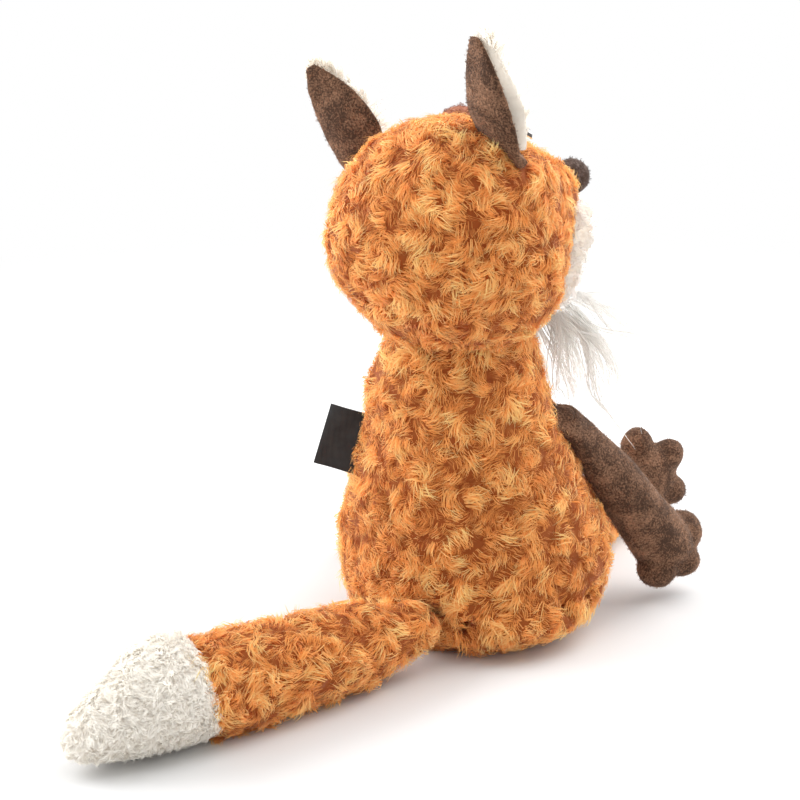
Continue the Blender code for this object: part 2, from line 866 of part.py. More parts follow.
def make_leg(side, word, orange, velour, wadding):
    points = leg_path(side)
    hinge = pivot("hip_pivot_" + word, points[0])
    across = Vector((1, 0, 0))
    shares = round_shares(leg_shares)
    sleeve = swept(points, shares, leg_radius, leg_radius, across, leg_segments, open_end=True)
    leg = keep("leg_" + word, sleeve, orange, hinge)
    wall(leg, cloth)
    filling = swept(
        points, shares, leg_radius, leg_radius, across, leg_segments,
        shrink=(cloth + gap) * limb_filling_ease, start=leg_filling_root_share, end=0.99,
    )
    keep("leg_filling_" + word, filling, wadding, hinge)

    path = foot_path(side)
    toes_way = foot_way(side)
    level = Vector((0, 0, 1)).cross(toes_way).normalized()
    wide = Matrix.Rotation(side * foot_roll, 3, toes_way) @ level
    paw = swept(path, foot_shares, foot_half_width, foot_half_thickness, wide, leg_segments, open_start=True)
    foot = keep("foot_" + word, paw, velour, hinge)
    wall(foot, cloth)
    palm = path_point(path, foot_shares[-3][0]) - toes_way * (palm_set_back_share * foot_half_width)
    inside = swept(
        path, foot_shares, foot_half_width, foot_half_thickness, wide, leg_segments,
        shrink=(cloth + gap) * foot_filling_ease, start=0.02, end=foot_filling_share,
    )
    filling = keep("foot_filling_" + word, inside, wadding, hinge)
    sizes = (foot_toe_reach, foot_toe_spread, foot_toe_radius)
    add_toes("foot_" + word, foot, filling, palm, toes_way, wide, sizes)


def tail_root_radius():
    return tail_radius * tail_root_shares[-1][1]


def tail_path():
    surface = body_surface(tail_root_height, math.pi)
    start = surface + Vector((0, tail_root_radius() - tail_sink, 0))
    way = Vector((math.sin(tail_out), math.cos(tail_out), 0))
    resting = tail_radius + floor_gap
    lift = Vector((0, 0, resting - start.z))
    return [
        start,
        start + way * (0.30 * tail_length) + lift * 0.6,
        start + way * (0.65 * tail_length) + lift,
        start + way * tail_length + lift,
    ]


def make_tail(orange, white, wadding):
    points = tail_path()
    across = Vector((1, 0, 0))
    hinge = pivot("tail_pivot", points[0])
    shares = round_shares(tail_root_shares + tail_shares)
    sleeve = swept(
        points, shares, tail_radius, tail_radius, across, tail_segments,
        open_end=True, end=tail_sleeve_share,
    )
    tail = keep("tail_sleeve", sleeve, orange, hinge)
    wall(tail, cloth)
    seam = tail_sleeve_share + gap / tail_length
    tip = swept(points, shares, tail_radius, tail_radius, across, tail_segments, open_start=True, start=seam)
    tail_end = keep("tail_tip", tip, white, hinge)
    wall(tail_end, cloth)
    filling = swept(
        points, shares, tail_radius, tail_radius, across, tail_segments,
        shrink=(cloth + gap) * limb_filling_ease, start=tail_filling_root_share, end=tail_filling_share,
    )
    keep("tail_filling", filling, wadding, hinge)


def make_label(satin, body_cut):
    azimuth = label_azimuth
    root = body_surface(label_middle_height, azimuth)
    out = body_normal(label_middle_height, azimuth)
    out = Vector((out.x, out.y, 0)).normalized()
    up = Vector((0, 0, 1))
    face = up.cross(out).normalized()
    bm = bmesh.new()
    bmesh.ops.create_cube(bm, size=1)
    depth = label_reach + overrun
    bmesh.ops.scale(bm, vec=(depth, label_thickness, label_height), verts=bm.verts)
    bmesh.ops.translate(bm, vec=(label_reach - depth / 2, 0, 0), verts=bm.verts)
    folded = [edge for edge in bm.edges if all(vert.co.x > 0 for vert in edge.verts)
              and abs(edge.verts[0].co.z - edge.verts[1].co.z) > label_height / 2]
    bmesh.ops.bevel(
        bm, geom=folded, offset=label_thickness * 0.4, segments=2, profile=0.5, affect="EDGES", material=-1,
    )
    frame = Matrix((out, face, up)).transposed().to_4x4()
    frame.translation = root
    bm.transform(frame @ Matrix.Rotation(label_tilt, 4, "Y"))
    label = keep("side_label", bm, satin)
    cut(label, body_cut)


def main():
    clear_scene()
    orange = material("orange_plush", (0.62, 0.21, 0.05), 0.9)
    white = material("white_plush", (0.82, 0.80, 0.76), 0.9)
    velour = material("brown_velour", (0.10, 0.065, 0.05), 0.85)
    rust = material("rust_velour", (0.47, 0.17, 0.09), 0.85)
    wadding = material("polyester_wadding", (0.85, 0.85, 0.83), 1.0)
    canvas = material("pellet_bag_canvas", (0.70, 0.66, 0.58), 0.9)
    eye_plastic = material("eye_plastic", (0.02, 0.012, 0.008), 0.08)
    washer_plastic = material("washer_plastic", (0.75, 0.75, 0.73), 0.5)
    satin = material("label_satin", (0.017, 0.012, 0.012), 0.4)

    sides = ((1, "left"), (-1, "right"))
    seats = []
    for side, word in sides:
        seat, out, down = shoulder_frame(side)
        radius = arm_half_width * arm_shares[0][2] + seat_margin
        seats.append(cutter("arm_seat_" + word, rod(seat, out, radius, overrun, seat_segments)))
    socket = (leg_radius + turning_gap) / math.cos(math.pi / seat_segments)
    dimples = []
    for side, word in sides:
        room = ball(hip_place(side), socket, seat_segments, seat_segments)
        dimples.append(cutter("hip_dimple_" + word, room))
    tail_socket = (tail_root_radius() + turning_gap) / math.cos(math.pi / seat_segments)
    room = ball(tail_path()[0], tail_socket, seat_segments, seat_segments)
    dimples.append(cutter("tail_dimple", room))
    make_body(orange, wadding, canvas, seats + dimples)

    swollen = inset(body_profile(), -2 * gap)
    swollen[0] = (0, swollen[0][1])
    swollen.append((0, swollen[-1][1]))
    body_cut = cutter("body_form_swollen", shaped_as_body(turned(swollen, body_segments)))
    make_label(satin, body_cut)

    neck = pivot("neck_pivot", dome_centre())
    holes = {"skin": [], "filling": []}
    for side, word in sides:
        hole, room = eye_tools(side, word)
        groove = ear_groove(side, word)
        holes["skin"] += [hole, groove]
        holes["filling"] += [room]
    form = make_head(orange, white, velour, wadding, neck, holes)
    for side, word in sides:
        make_eye(side, word, eye_plastic, washer_plastic, rust, neck, form)
        make_ear(side, word, velour, white, neck)
        make_arm(side, word, velour, wadding)
        make_leg(side, word, orange, velour, wadding)
    make_tail(orange, white, wadding)


main()
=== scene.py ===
import json
import math

import bmesh
import bpy
import numpy as np
from bpy.props import FloatProperty, FloatVectorProperty, IntProperty, PointerProperty
from bpy.types import Operator, Panel, PropertyGroup
from mathutils import Matrix, Vector
from mathutils.bvhtree import BVHTree


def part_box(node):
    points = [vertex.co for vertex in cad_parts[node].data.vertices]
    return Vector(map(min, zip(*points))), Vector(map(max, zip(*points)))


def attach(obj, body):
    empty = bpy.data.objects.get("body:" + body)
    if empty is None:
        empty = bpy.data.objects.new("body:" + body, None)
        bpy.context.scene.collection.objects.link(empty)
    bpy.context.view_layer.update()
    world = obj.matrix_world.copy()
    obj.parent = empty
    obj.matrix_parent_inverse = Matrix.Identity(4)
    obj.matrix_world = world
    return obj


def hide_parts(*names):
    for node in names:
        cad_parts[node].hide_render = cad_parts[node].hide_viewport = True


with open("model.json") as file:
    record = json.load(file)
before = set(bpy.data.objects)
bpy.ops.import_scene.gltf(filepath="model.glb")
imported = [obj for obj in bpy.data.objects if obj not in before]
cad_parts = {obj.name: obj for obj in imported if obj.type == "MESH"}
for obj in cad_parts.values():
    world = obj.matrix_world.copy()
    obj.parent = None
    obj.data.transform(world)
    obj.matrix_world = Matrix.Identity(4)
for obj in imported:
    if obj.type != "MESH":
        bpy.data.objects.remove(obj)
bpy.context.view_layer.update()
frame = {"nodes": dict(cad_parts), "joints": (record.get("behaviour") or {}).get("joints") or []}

bl_info = {
    "name": "Plush Fox",
    "version": (1, 0, 0),
    "blender": (4, 5, 0),
    "location": "View3D > Sidebar > Plush Fox",
    "description": "Dresses the plush fox in curly plush, velour and long hair",
    "category": "Add Mesh",
}

BLACK, WHITE = (0, 0, 0), (1, 1, 1)
SPECULAR = "Specular IOR Level"
DOWN = Vector((0, 0, -1))

# The photograph's view, at azimuth 205 and elevation 18 degrees: the way back to its camera, its right,
# its up, the point that it looks at and the camera's facts
BACK = Vector((-0.40193, 0.86193, 0.30902))
RIGHT = Vector((-0.90631, -0.42262, 0.0))
UP = Vector((0.1306, -0.28007, 0.95106))
TARGET = Vector((0.04273, -0.01665, 0.10200))
CAMERA_DISTANCE = 1.3
CAMERA_LENS, CAMERA_SENSOR = 120.0, 36.0
CENTIMETRE_SQUARES = 10000.0


def tone(red, green, blue):
    """A colour written as on screen, 0 to 255, as Blender's linear numbers."""
    shares = [level / 255 for level in (red, green, blue)]
    return tuple(s / 12.92 if s <= 0.04045 else ((s + 0.055) / 1.055) ** 2.4 for s in shares)


# What a user may change

def length(name, text, value):
    return FloatProperty(
        name=name, description=text, default=value, min=0.0001, max=0.2, unit="LENGTH", precision=4)


def count(name, text, value, low, high):
    return IntProperty(name=name, description=text, default=value, min=low, max=high)


def colour(name, text, value):
    return FloatVectorProperty(name=name, description=text, default=value, subtype="COLOR", min=0, max=1)


def power(name, text, value):
    return FloatProperty(name=name, description=text, default=value, min=0, unit="POWER")


class FoxPile(PropertyGroup):
    """Lengths of the pile, and how densely it stands."""

    plush_length: length("Plush length", "Length of the curly orange fibres", 0.0080)
    plush_width: length("Plush lock width", "Width of one lock of fibres", 0.00040)
    plush_density: count("Plush density", "Tufts on a square centimetre of curly plush", 21, 1, 80)
    whirl_spacing: length("Whirl spacing", "Distance between the middles of the pressed whirls", 0.0195)
    whirl_relief: length("Whirl relief", "How far the whirls stand above the hollows between them", 0.0021)
    tip_length: length("Tail tip pile", "Length of the dense white pile on the tail", 0.0036)
    panel_length: length("Face pile", "Length of the white pile on the face", 0.0045)
    lining_length: length("Ear lining pile", "Length of the white fur in the ears", 0.0100)
    velour_pile: length("Velour pile", "Length of the short brown pile", 0.0011)
    velour_density: count("Velour density", "Tufts on a square centimetre of velour", 42, 1, 100)
    beard_length: length("Beard length", "Length of the longest hairs under the chin", 0.076)
    beard_locks: count("Beard locks", "Number of locks in the beard", 46, 1, 200)
    lock_hairs: count("Hairs in a lock", "Number of hairs in each lock of the beard", 9, 1, 50)


class FoxColours(PropertyGroup):
    """Colours of the cloths and of the floor."""

    # The root colour is painted shade deep in the pile and the tip colour a painted highlight; the middle is
    # the plush's own orange.
    plush_root_shade: colour("Plush root", "Orange plush deep in the pile", tone(184, 102, 44))
    plush_middle: colour("Plush middle", "Orange plush half way up", tone(252, 184, 102))
    plush_tip_highlight: colour("Plush tip", "Orange plush where the light catches it", tone(255, 238, 168))
    # The root colour is painted shade deep in the white pile; the tip colour is its own white.
    white_root_shade: colour("White root", "White plush deep in the pile", tone(243, 237, 228))
    white_tip: colour("White tip", "White plush at its surface", tone(255, 253, 248))
    # The two velour colours are shaded and lit copies of the brown: painted shade and painted sheen of brushed
    # pile.
    velour_shaded: colour("Velour deep", "Brown velour brushed away from the light", tone(78, 53, 38))
    velour_lit: colour("Velour light", "Brown velour brushed towards the light", tone(172, 130, 102))
    nose_velour: colour("Nose", "Dark velour of the nose", tone(98, 74, 62))
    rust_velour: colour("Eyelids", "Rust velour of the eyelids", tone(178, 104, 68))
    satin: colour("Label satin", "Dark satin of the side label", tone(18, 14, 15))
    eye: colour("Eyes", "Dark brown plastic of the eyes", tone(38, 22, 14))
    washer: colour("Washers", "White plastic of the washers", tone(225, 224, 220))
    hair: colour("Hair", "White hair of the beard", tone(250, 249, 247))
    floor: colour("Floor", "The plain pale floor", tone(240, 239, 238))


class FoxLamps(PropertyGroup):
    """The studio."""

    key: power("Key lamp", "Large lamp on the left", 20.0)
    fill: power("Fill lamp", "Large lamp on the right", 19.0)
    top: power("Top lamp", "Lamp overhead", 4.0)
    ambient: FloatProperty(
        name="Room", description="Light from the room all round", default=0.72, min=0, max=2)


def pile():
    return bpy.context.scene.fox_pile


def colours():
    return bpy.context.scene.fox_colours


# Materials

def add_node(tree, kind, **facts):
    """A new node; a fact is one of its own properties, or the value of one of its inputs."""
    node = tree.nodes.new(kind)
    for key, value in facts.items():
        if key in node.bl_rna.properties:
            setattr(node, key, value)
        else:
            node.inputs[key.replace("_", " ")].default_value = value
    return node


def live(sockets):
    """The sockets that a node's settings leave in use."""
    return [socket for socket in sockets if socket.enabled]


class Finish:
    """A material and the few node steps that its finish needs."""

    def __init__(self, name, **sockets):
        self.material = bpy.data.materials.new(name)
        self.material.use_nodes = True
        self.tree = self.material.node_tree
        self.link = self.tree.links.new
        self.shader = self.tree.nodes["Principled BSDF"]
        for key, value in sockets.items():
            self.shader.inputs[key.replace("_", " ")].default_value = value

    def node(self, kind, **facts):
        return add_node(self.tree, kind, **facts)

    def place(self):
        """Object coordinates."""
        return self.node("ShaderNodeTexCoord").outputs["Object"]

    def noise(self, size, detail=2.0, distortion=0.0):
        """Noise whose cells are about size metres across."""
        noise = self.node("ShaderNodeTexNoise", Scale=1 / size, Detail=detail, Distortion=distortion)
        self.link(self.place(), noise.inputs["Vector"])
        return noise.outputs["Fac"]

    def read(self, name):
        """A number kept on the piece's own mesh."""
        return self.node("ShaderNodeAttribute", attribute_name=name).outputs["Fac"]

    def sum(self, *terms):
        """Sum of (value, factor) pairs."""
        total = None
        for value, factor in terms:
            part = self.node("ShaderNodeMath", operation="MULTIPLY")
            self.link(value, part.inputs[0])
            part.inputs[1].default_value = factor
            if total is not None:
                both = self.node("ShaderNodeMath", operation="ADD")
                self.link(total, both.inputs[0])
                self.link(part.outputs[0], both.inputs[1])
                part = both
            total = part.outputs[0]
        return total

    def ramp(self, value, *stops):
        """Colours at positions along value."""
        ramp = self.node("ShaderNodeValToRGB")
        elements = ramp.color_ramp.elements
        while len(elements) < len(stops):
            elements.new(0.5)
        for element, (position, shade) in zip(elements, stops):
            element.position = position
        for element, (position, shade) in zip(elements, stops):
            element.color = (*shade, 1)
        self.link(value, ramp.inputs["Fac"])
        return ramp.outputs["Color"]

    def colour(self, output):
        self.link(output, self.shader.inputs["Base Color"])
        return self

    def bump(self, height, depth, strength):
        bump = self.node("ShaderNodeBump", Strength=strength, Distance=depth)
        self.link(height, bump.inputs["Height"])
        self.link(bump.outputs["Normal"], self.shader.inputs["Normal"])
        return self

    def surface(self, shader):
        self.link(shader, self.tree.nodes["Material Output"].inputs["Surface"])
        return self.material


def furry(finish, colour, through=0.5):
    """Pile that lets some of the light through."""
    finish.colour(colour)
    thin = finish.node("ShaderNodeBsdfTranslucent")
    finish.link(colour, thin.inputs["Color"])
    both = finish.node("ShaderNodeMixShader", Fac=through)
    finish.link(finish.shader.outputs[0], both.inputs[1])
    finish.link(thin.outputs[0], both.inputs[2])
    return finish.surface(both.outputs[0])


def mixed(low, high, share):
    """The colour at share of the way from low to high."""
    return tuple(a + (b - a) * share for a, b in zip(low, high))


def plush_finish():
    """Curly orange plush: painted shade at the roots and in the hollows between whirls, painted highlight
    towards the tips.
    """
    shades = colours()
    fur = Finish("curly orange plush", Roughness=0.72, Sheen_Weight=0.25, Sheen_Roughness=0.5)
    fur.shader.inputs[SPECULAR].default_value = 0.25
    # along and crest paint shade at the roots and in the hollows and a highlight at the tips; tint and noise
    # are the pile's own tone.
    height = fur.sum((fur.read("along"), 0.26), (fur.read("tint"), 0.44), (fur.read("crest"), 0.14),
                     (fur.noise(0.009, 3.0), 0.32))
    return furry(fur, fur.ramp(
        height, (0.30, tuple(shades.plush_root_shade)), (0.58, tuple(shades.plush_middle)),
        (0.92, tuple(shades.plush_tip_highlight))))


def white_finish(name, through, root, tip):
    """White pile with painted shade: greyer towards the backing and in the hollows between whirls."""
    fur = Finish(name, Roughness=0.8, Sheen_Weight=0.2, Sheen_Roughness=0.6)
    height = fur.sum((fur.read("along"), 0.6), (fur.read("tint"), 0.2), (fur.read("crest"), 0.2))
    return furry(fur, fur.ramp(height, (0.05, root), (0.7, tip)), through)


def dense_white():
    shades = colours()
    return bpy.data.materials.get("white plush") or white_finish(
        "white plush", 0.5, tuple(shades.white_root_shade), tuple(shades.white_tip))


def velour_finish(name, deep, light, patch=0.011):
    """Short velour: a fine grain over patches of painted sheen and painted shade, as pile brushed one way or
    the other catches the light, and painted shade at the fuzz roots.
    """
    cloth = Finish(name, Roughness=0.85, Sheen_Weight=0.35, Sheen_Roughness=0.35)
    cloth.shader.inputs["Sheen Tint"].default_value = (*mixed(light, (1, 0.9, 0.8), 0.25), 1)
    cloth.shader.inputs[SPECULAR].default_value = 0.2
    # The patch noise paints sheen and shade, the fine noise is grain, along paints shade at the fuzz roots and
    # tint is own tone.
    value = cloth.sum(
        (cloth.noise(patch, 3.0, distortion=0.6), 0.46), (cloth.noise(0.0009), 0.56),
        (cloth.read("along"), 0.10), (cloth.read("tint"), 0.10))
    cloth.colour(cloth.ramp(
        value, (0.45, mixed(deep, BLACK, 0.35)), (0.61, mixed(deep, light, 0.4)), (0.79, light)))
    return cloth.bump(cloth.noise(0.0006, 4.0), 0.0003, 0.5).material


def satin_finish():
    """Tightly woven dark satin ribbon."""
    base = tuple(colours().satin)
    ribbon = Finish("dark satin", Roughness=0.5)
    ribbon.shader.inputs[SPECULAR].default_value = 0.2
    waves = ribbon.node("ShaderNodeTexWave", Scale=620.0, Distortion=1.2, Detail=1.0)
    ribbon.link(ribbon.place(), waves.inputs["Vector"])
    value = ribbon.sum((waves.outputs["Fac"], 0.5), (ribbon.noise(0.006), 0.5))
    ribbon.colour(ribbon.ramp(value, (0.15, mixed(base, BLACK, 0.35)), (0.9, mixed(base, WHITE, 0.05))))
    return ribbon.bump(waves.outputs["Fac"], 0.00015, 0.35).material


def plastic_finish(name, base, roughness, coat):
    """Moulded plastic, faintly uneven."""
    plastic = Finish(name, Roughness=roughness, Coat_Weight=coat, Coat_Roughness=0.04)
    mottle = plastic.noise(0.003)
    plastic.colour(plastic.ramp(mottle, (0.3, mixed(base, BLACK, 0.3)), (0.75, mixed(base, WHITE, 0.04))))
    return plastic.bump(mottle, 0.0001, 0.05).material


# Stuffed forms

def from_bmesh(name, shape, *materials):
    """A new object at the origin that holds shape."""
    mesh = bpy.data.meshes.new(name)
    shape.to_mesh(mesh)
    shape.free()
    piece = bpy.data.objects.new(name, mesh)
    bpy.context.scene.collection.objects.link(piece)
    for material in materials:
        mesh.materials.append(material)
    return piece


def apply_modifiers(piece):
    """Replaces the piece's mesh with what its modifiers make of it."""
    graph = bpy.context.evaluated_depsgraph_get()
    graph.update()
    made = bpy.data.meshes.new_from_object(
        piece.evaluated_get(graph), preserve_all_data_layers=True, depsgraph=graph)
    old = piece.data
    piece.modifiers.clear()
    piece.data = made
    made.name = piece.name
    bpy.data.meshes.remove(old)


def keep_outside(shape):
    """Leaves only the largest closed surface of shape."""
    left = set(shape.verts)
    islands = []
    while left:
        island = {left.pop()}
        front = list(island)
        while front:
            vertex = front.pop()
            for edge in vertex.link_edges:
                other = edge.other_vert(vertex)
                if other in left:
                    left.discard(other)
                    island.add(other)
                    front.append(other)
        islands.append(island)
    largest = max(islands, key=len)
    bmesh.ops.delete(shape, geom=[v for v in shape.verts if v not in largest], context="VERTS")


def joined_solids(nodes):
    """The CAD solids of these nodes as one bmesh, their loose triangles welded."""
    shape = bmesh.new()
    for node in nodes:
        solid = bmesh.new()
        solid.from_mesh(frame["nodes"][node].data)
        bmesh.ops.remove_doubles(solid, verts=solid.verts, dist=0.000001)
        welded = bpy.data.meshes.new("solid")
        solid.to_mesh(welded)
        solid.free()
        shape.from_mesh(welded)
        bpy.data.meshes.remove(welded)
    return shape


def cut_away(shape, spot, side):
    """Takes off what lies past spot towards side, and closes the cut."""
    everything = list(shape.verts) + list(shape.edges) + list(shape.faces)
    halves = bmesh.ops.bisect_plane(shape, geom=everything, plane_co=spot, plane_no=side, clear_outer=True)
    rim = [part for part in halves["geom_cut"] if isinstance(part, bmesh.types.BMEdge)]
    bmesh.ops.holes_fill(shape, edges=rim)
    bmesh.ops.triangulate(shape, faces=[face for face in shape.faces if len(face.verts) > 4])


def stuffed(name, nodes, voxel, soften=6, swell=0.0016, form=None, cut=None):
    """One closed, stuffed form in the place of these solids: remeshed, softened and blown up as cloth.

    No point moves farther than swell under the filling. Form changes the points; cut takes off one end."""
    piece = from_bmesh(name, joined_solids(nodes))
    remesh = piece.modifiers.new("even cloth", "REMESH")
    remesh.mode = "VOXEL"
    remesh.voxel_size = voxel
    apply_modifiers(piece)

    shape = bmesh.new()
    shape.from_mesh(piece.data)
    keep_outside(shape)
    if cut:
        cut_away(shape, *cut)
    for _ in range(soften):
        bmesh.ops.smooth_vert(
            shape, verts=shape.verts, factor=0.5, use_axis_x=True, use_axis_y=True, use_axis_z=True)
    shape.to_mesh(piece.data)
    shape.free()
    fill_with_wadding(piece, swell)
    if form:
        move_points(piece, form(*surface(piece)))
    subdivision = piece.modifiers.new("smooth cloth", "SUBSURF")
    subdivision.levels = subdivision.render_levels = 1
    apply_modifiers(piece)
    piece.data.polygons.foreach_set("use_smooth", [True] * len(piece.data.polygons))
    return piece


def fill_with_wadding(piece, swell):
    """Cloth under the pressure of its filling; no point moves farther than swell."""
    before = [vertex.co.copy() for vertex in piece.data.vertices]
    cloth = piece.modifiers.new("filled cloth", "CLOTH")
    settings = cloth.settings
    settings.quality = 4
    settings.use_pressure = True
    settings.uniform_pressure_force = 4.0
    settings.effector_weights.gravity = 0
    settings.tension_stiffness = settings.compression_stiffness = 12
    settings.bending_stiffness = 0.4
    cloth.collision_settings.use_collision = False
    scene = bpy.context.scene
    for step in range(1, 21):
        scene.frame_set(step)
    apply_modifiers(piece)
    scene.frame_set(1)
    for vertex, start in zip(piece.data.vertices, before):
        move = vertex.co - start
        if move.length > swell:
            vertex.co = start + move * (swell / move.length)
    piece.data.update()


# How the pile lies

def surface(piece):
    """The piece's points and their normals as arrays."""
    mesh = piece.data
    count = len(mesh.vertices)
    points, normals = np.empty(count * 3), np.empty(count * 3)
    mesh.vertices.foreach_get("co", points)
    mesh.vertex_normals.foreach_get("vector", normals)
    return points.reshape(-1, 3), normals.reshape(-1, 3)


def move_points(piece, points):
    piece.data.vertices.foreach_set("co", points.ravel())
    piece.data.update()


def unit(vectors):
    return vectors / np.maximum(np.linalg.norm(vectors, axis=1), 1e-9)[:, None]


def tangent(vectors, normals):
    """The part of vectors that lies in the surface."""
    vectors = np.broadcast_to(vectors, normals.shape)
    return vectors - normals * np.sum(vectors * normals, axis=1)[:, None]


def spaced(points, spacing, chance):
    """Indices of points that stand at least spacing apart."""
    chosen = []
    for index in chance.permutation(len(points)):
        reach = spacing * chance.uniform(0.6, 1.5)
        if not chosen or np.min(np.sum((points[chosen] - points[index]) ** 2, axis=1)) > reach ** 2:
            chosen.append(int(index))
    return np.array(chosen)


def keep_number(piece, name, values):
    attribute = piece.data.attributes.new(name, "FLOAT", "POINT")
    attribute.data.foreach_set("value", np.asarray(values, dtype=np.float32))


def keep_direction(piece, name, vectors):
    attribute = piece.data.attributes.new(name, "FLOAT_VECTOR", "POINT")
    attribute.data.foreach_set("vector", np.asarray(vectors, dtype=np.float32).ravel())


def comb(piece, spacing, whirl, lean, flow, seed, relief=0.0, uneven=0.25, trim=()):
    """Lays the pile of piece: whirls of pressed pile at spacing, mixed with a plain lay along flow.

    whirl is the share of the whirls, lean how flat the pile lies, relief how far whirls stand out.
    The pile is shorter next to the nodes in trim."""
    chance = np.random.default_rng(seed)
    points, normals = surface(piece)
    middles = spaced(points, spacing, chance)
    bent = points + 0.2 * spacing * np.sin(points[:, [1, 2, 0]] * (4.5 / spacing) + seed)
    gaps = np.linalg.norm(bent[:, None, :] - bent[middles][None, :, :], axis=2)
    order = np.argpartition(gaps, 1, axis=1)[:, :2]
    pair = np.take_along_axis(gaps, order, axis=1)
    swap = pair[:, 0] > pair[:, 1]
    order[swap], pair[swap] = order[swap][:, ::-1], pair[swap][:, ::-1]
    nearest, distance = order[:, 0], pair[:, 0]
    crest = np.clip((pair[:, 1] - pair[:, 0]) / (0.45 * spacing), 0, 1)
    crest = 1 - (1 - crest * crest * (3 - 2 * crest)) * chance.uniform(0.25, 1.0, len(middles))[nearest]

    away = unit(tangent(points - points[middles][nearest], normals))
    turn = chance.choice([-1.0, 1.0], len(middles))[nearest][:, None]
    draw = chance.uniform(-0.5, 0.35, len(middles))[nearest][:, None]
    around = np.cross(normals, away) * turn
    plain = unit(tangent(np.array(flow), normals))
    slow_wave = np.sin(points @ np.array([[-150.0], [90.0], [210.0]]))
    wave = np.sin(points @ np.array([[310.0], [270.0], [190.0]]) + slow_wave)
    plain = unit(plain + np.cross(normals, plain) * wave * 0.9)
    share = whirl * chance.choice([1.0, 0.85, 0.45], len(middles))[nearest][:, None]
    lay = unit((around + away * draw) * share + plain * (1 - share))
    eye = np.clip(distance / (0.28 * spacing), 0, 1)[:, None]
    flat = lean * (0.35 + 0.65 * eye)
    grow = unit(normals * (1 - flat) + lay * flat)
    keep_direction(piece, "lay", lay)
    keep_direction(piece, "grow", grow)
    # The finishes also read crest as painted shade, darker in the hollows between whirls.
    keep_number(piece, "crest", crest)
    height = (1 - uneven) + uneven * crest
    if trim:
        met = tree_of(trim)
        gap = np.array([met.find_nearest(Vector(point))[3] for point in points])
        height = height * (0.6 + 0.4 * smooth_share(gap, 0.003, 0.018))
    keep_number(piece, "pile", height)
    if relief:
        lump = chance.uniform(0.5, 1.2, len(middles))[nearest] * crest
        dimple = np.exp(-(distance / (0.16 * spacing)) ** 2) * 0.6
        move_points(piece, points + normals * (relief * (lump - dimple - 0.45))[:, None])


# Tufts

def tuft(name, chance, blades, reach, width, spread, curl, material):
    """A few tapering locks from one spot, each bent towards local +X."""
    shape = bmesh.new()
    # along runs from root to tip; the finishes paint shade at the roots from it.
    along = shape.verts.layers.float.new("along")
    for _ in range(blades):
        made = bmesh.ops.create_grid(shape, x_segments=1, y_segments=2, size=0.5)["verts"]
        height = reach * chance.uniform(0.7, 1.15)
        half = width * chance.uniform(0.35, 0.6)
        bend = curl * chance.uniform(0.55, 1.35)
        aside = chance.normal(0, 0.13)
        turned = Matrix.Rotation(chance.normal(0, 0.22), 3, "Z")
        angle, radius = chance.uniform(0, 2 * math.pi), spread * math.sqrt(chance.uniform(0, 1))
        root = Vector((radius * math.cos(angle), radius * math.sin(angle), 0))
        for vertex in made:
            share = vertex.co.y + 0.5
            side = vertex.co.x * 2 * half * (1 - share ** 3)
            forward = height * (1 - math.cos(bend * share)) / bend
            up = height * math.sin(bend * share) / bend
            vertex.co = root + turned @ Vector((forward, side + aside * height * share ** 2, up))
            vertex[along] = share
    bmesh.ops.remove_doubles(shape, verts=shape.verts, dist=0.0000005)
    mesh = bpy.data.meshes.new(name)
    shape.to_mesh(mesh)
    shape.free()
    mesh.polygons.foreach_set("use_smooth", [True] * len(mesh.polygons))
    mesh.materials.append(material)
    return bpy.data.objects.new(name, mesh)


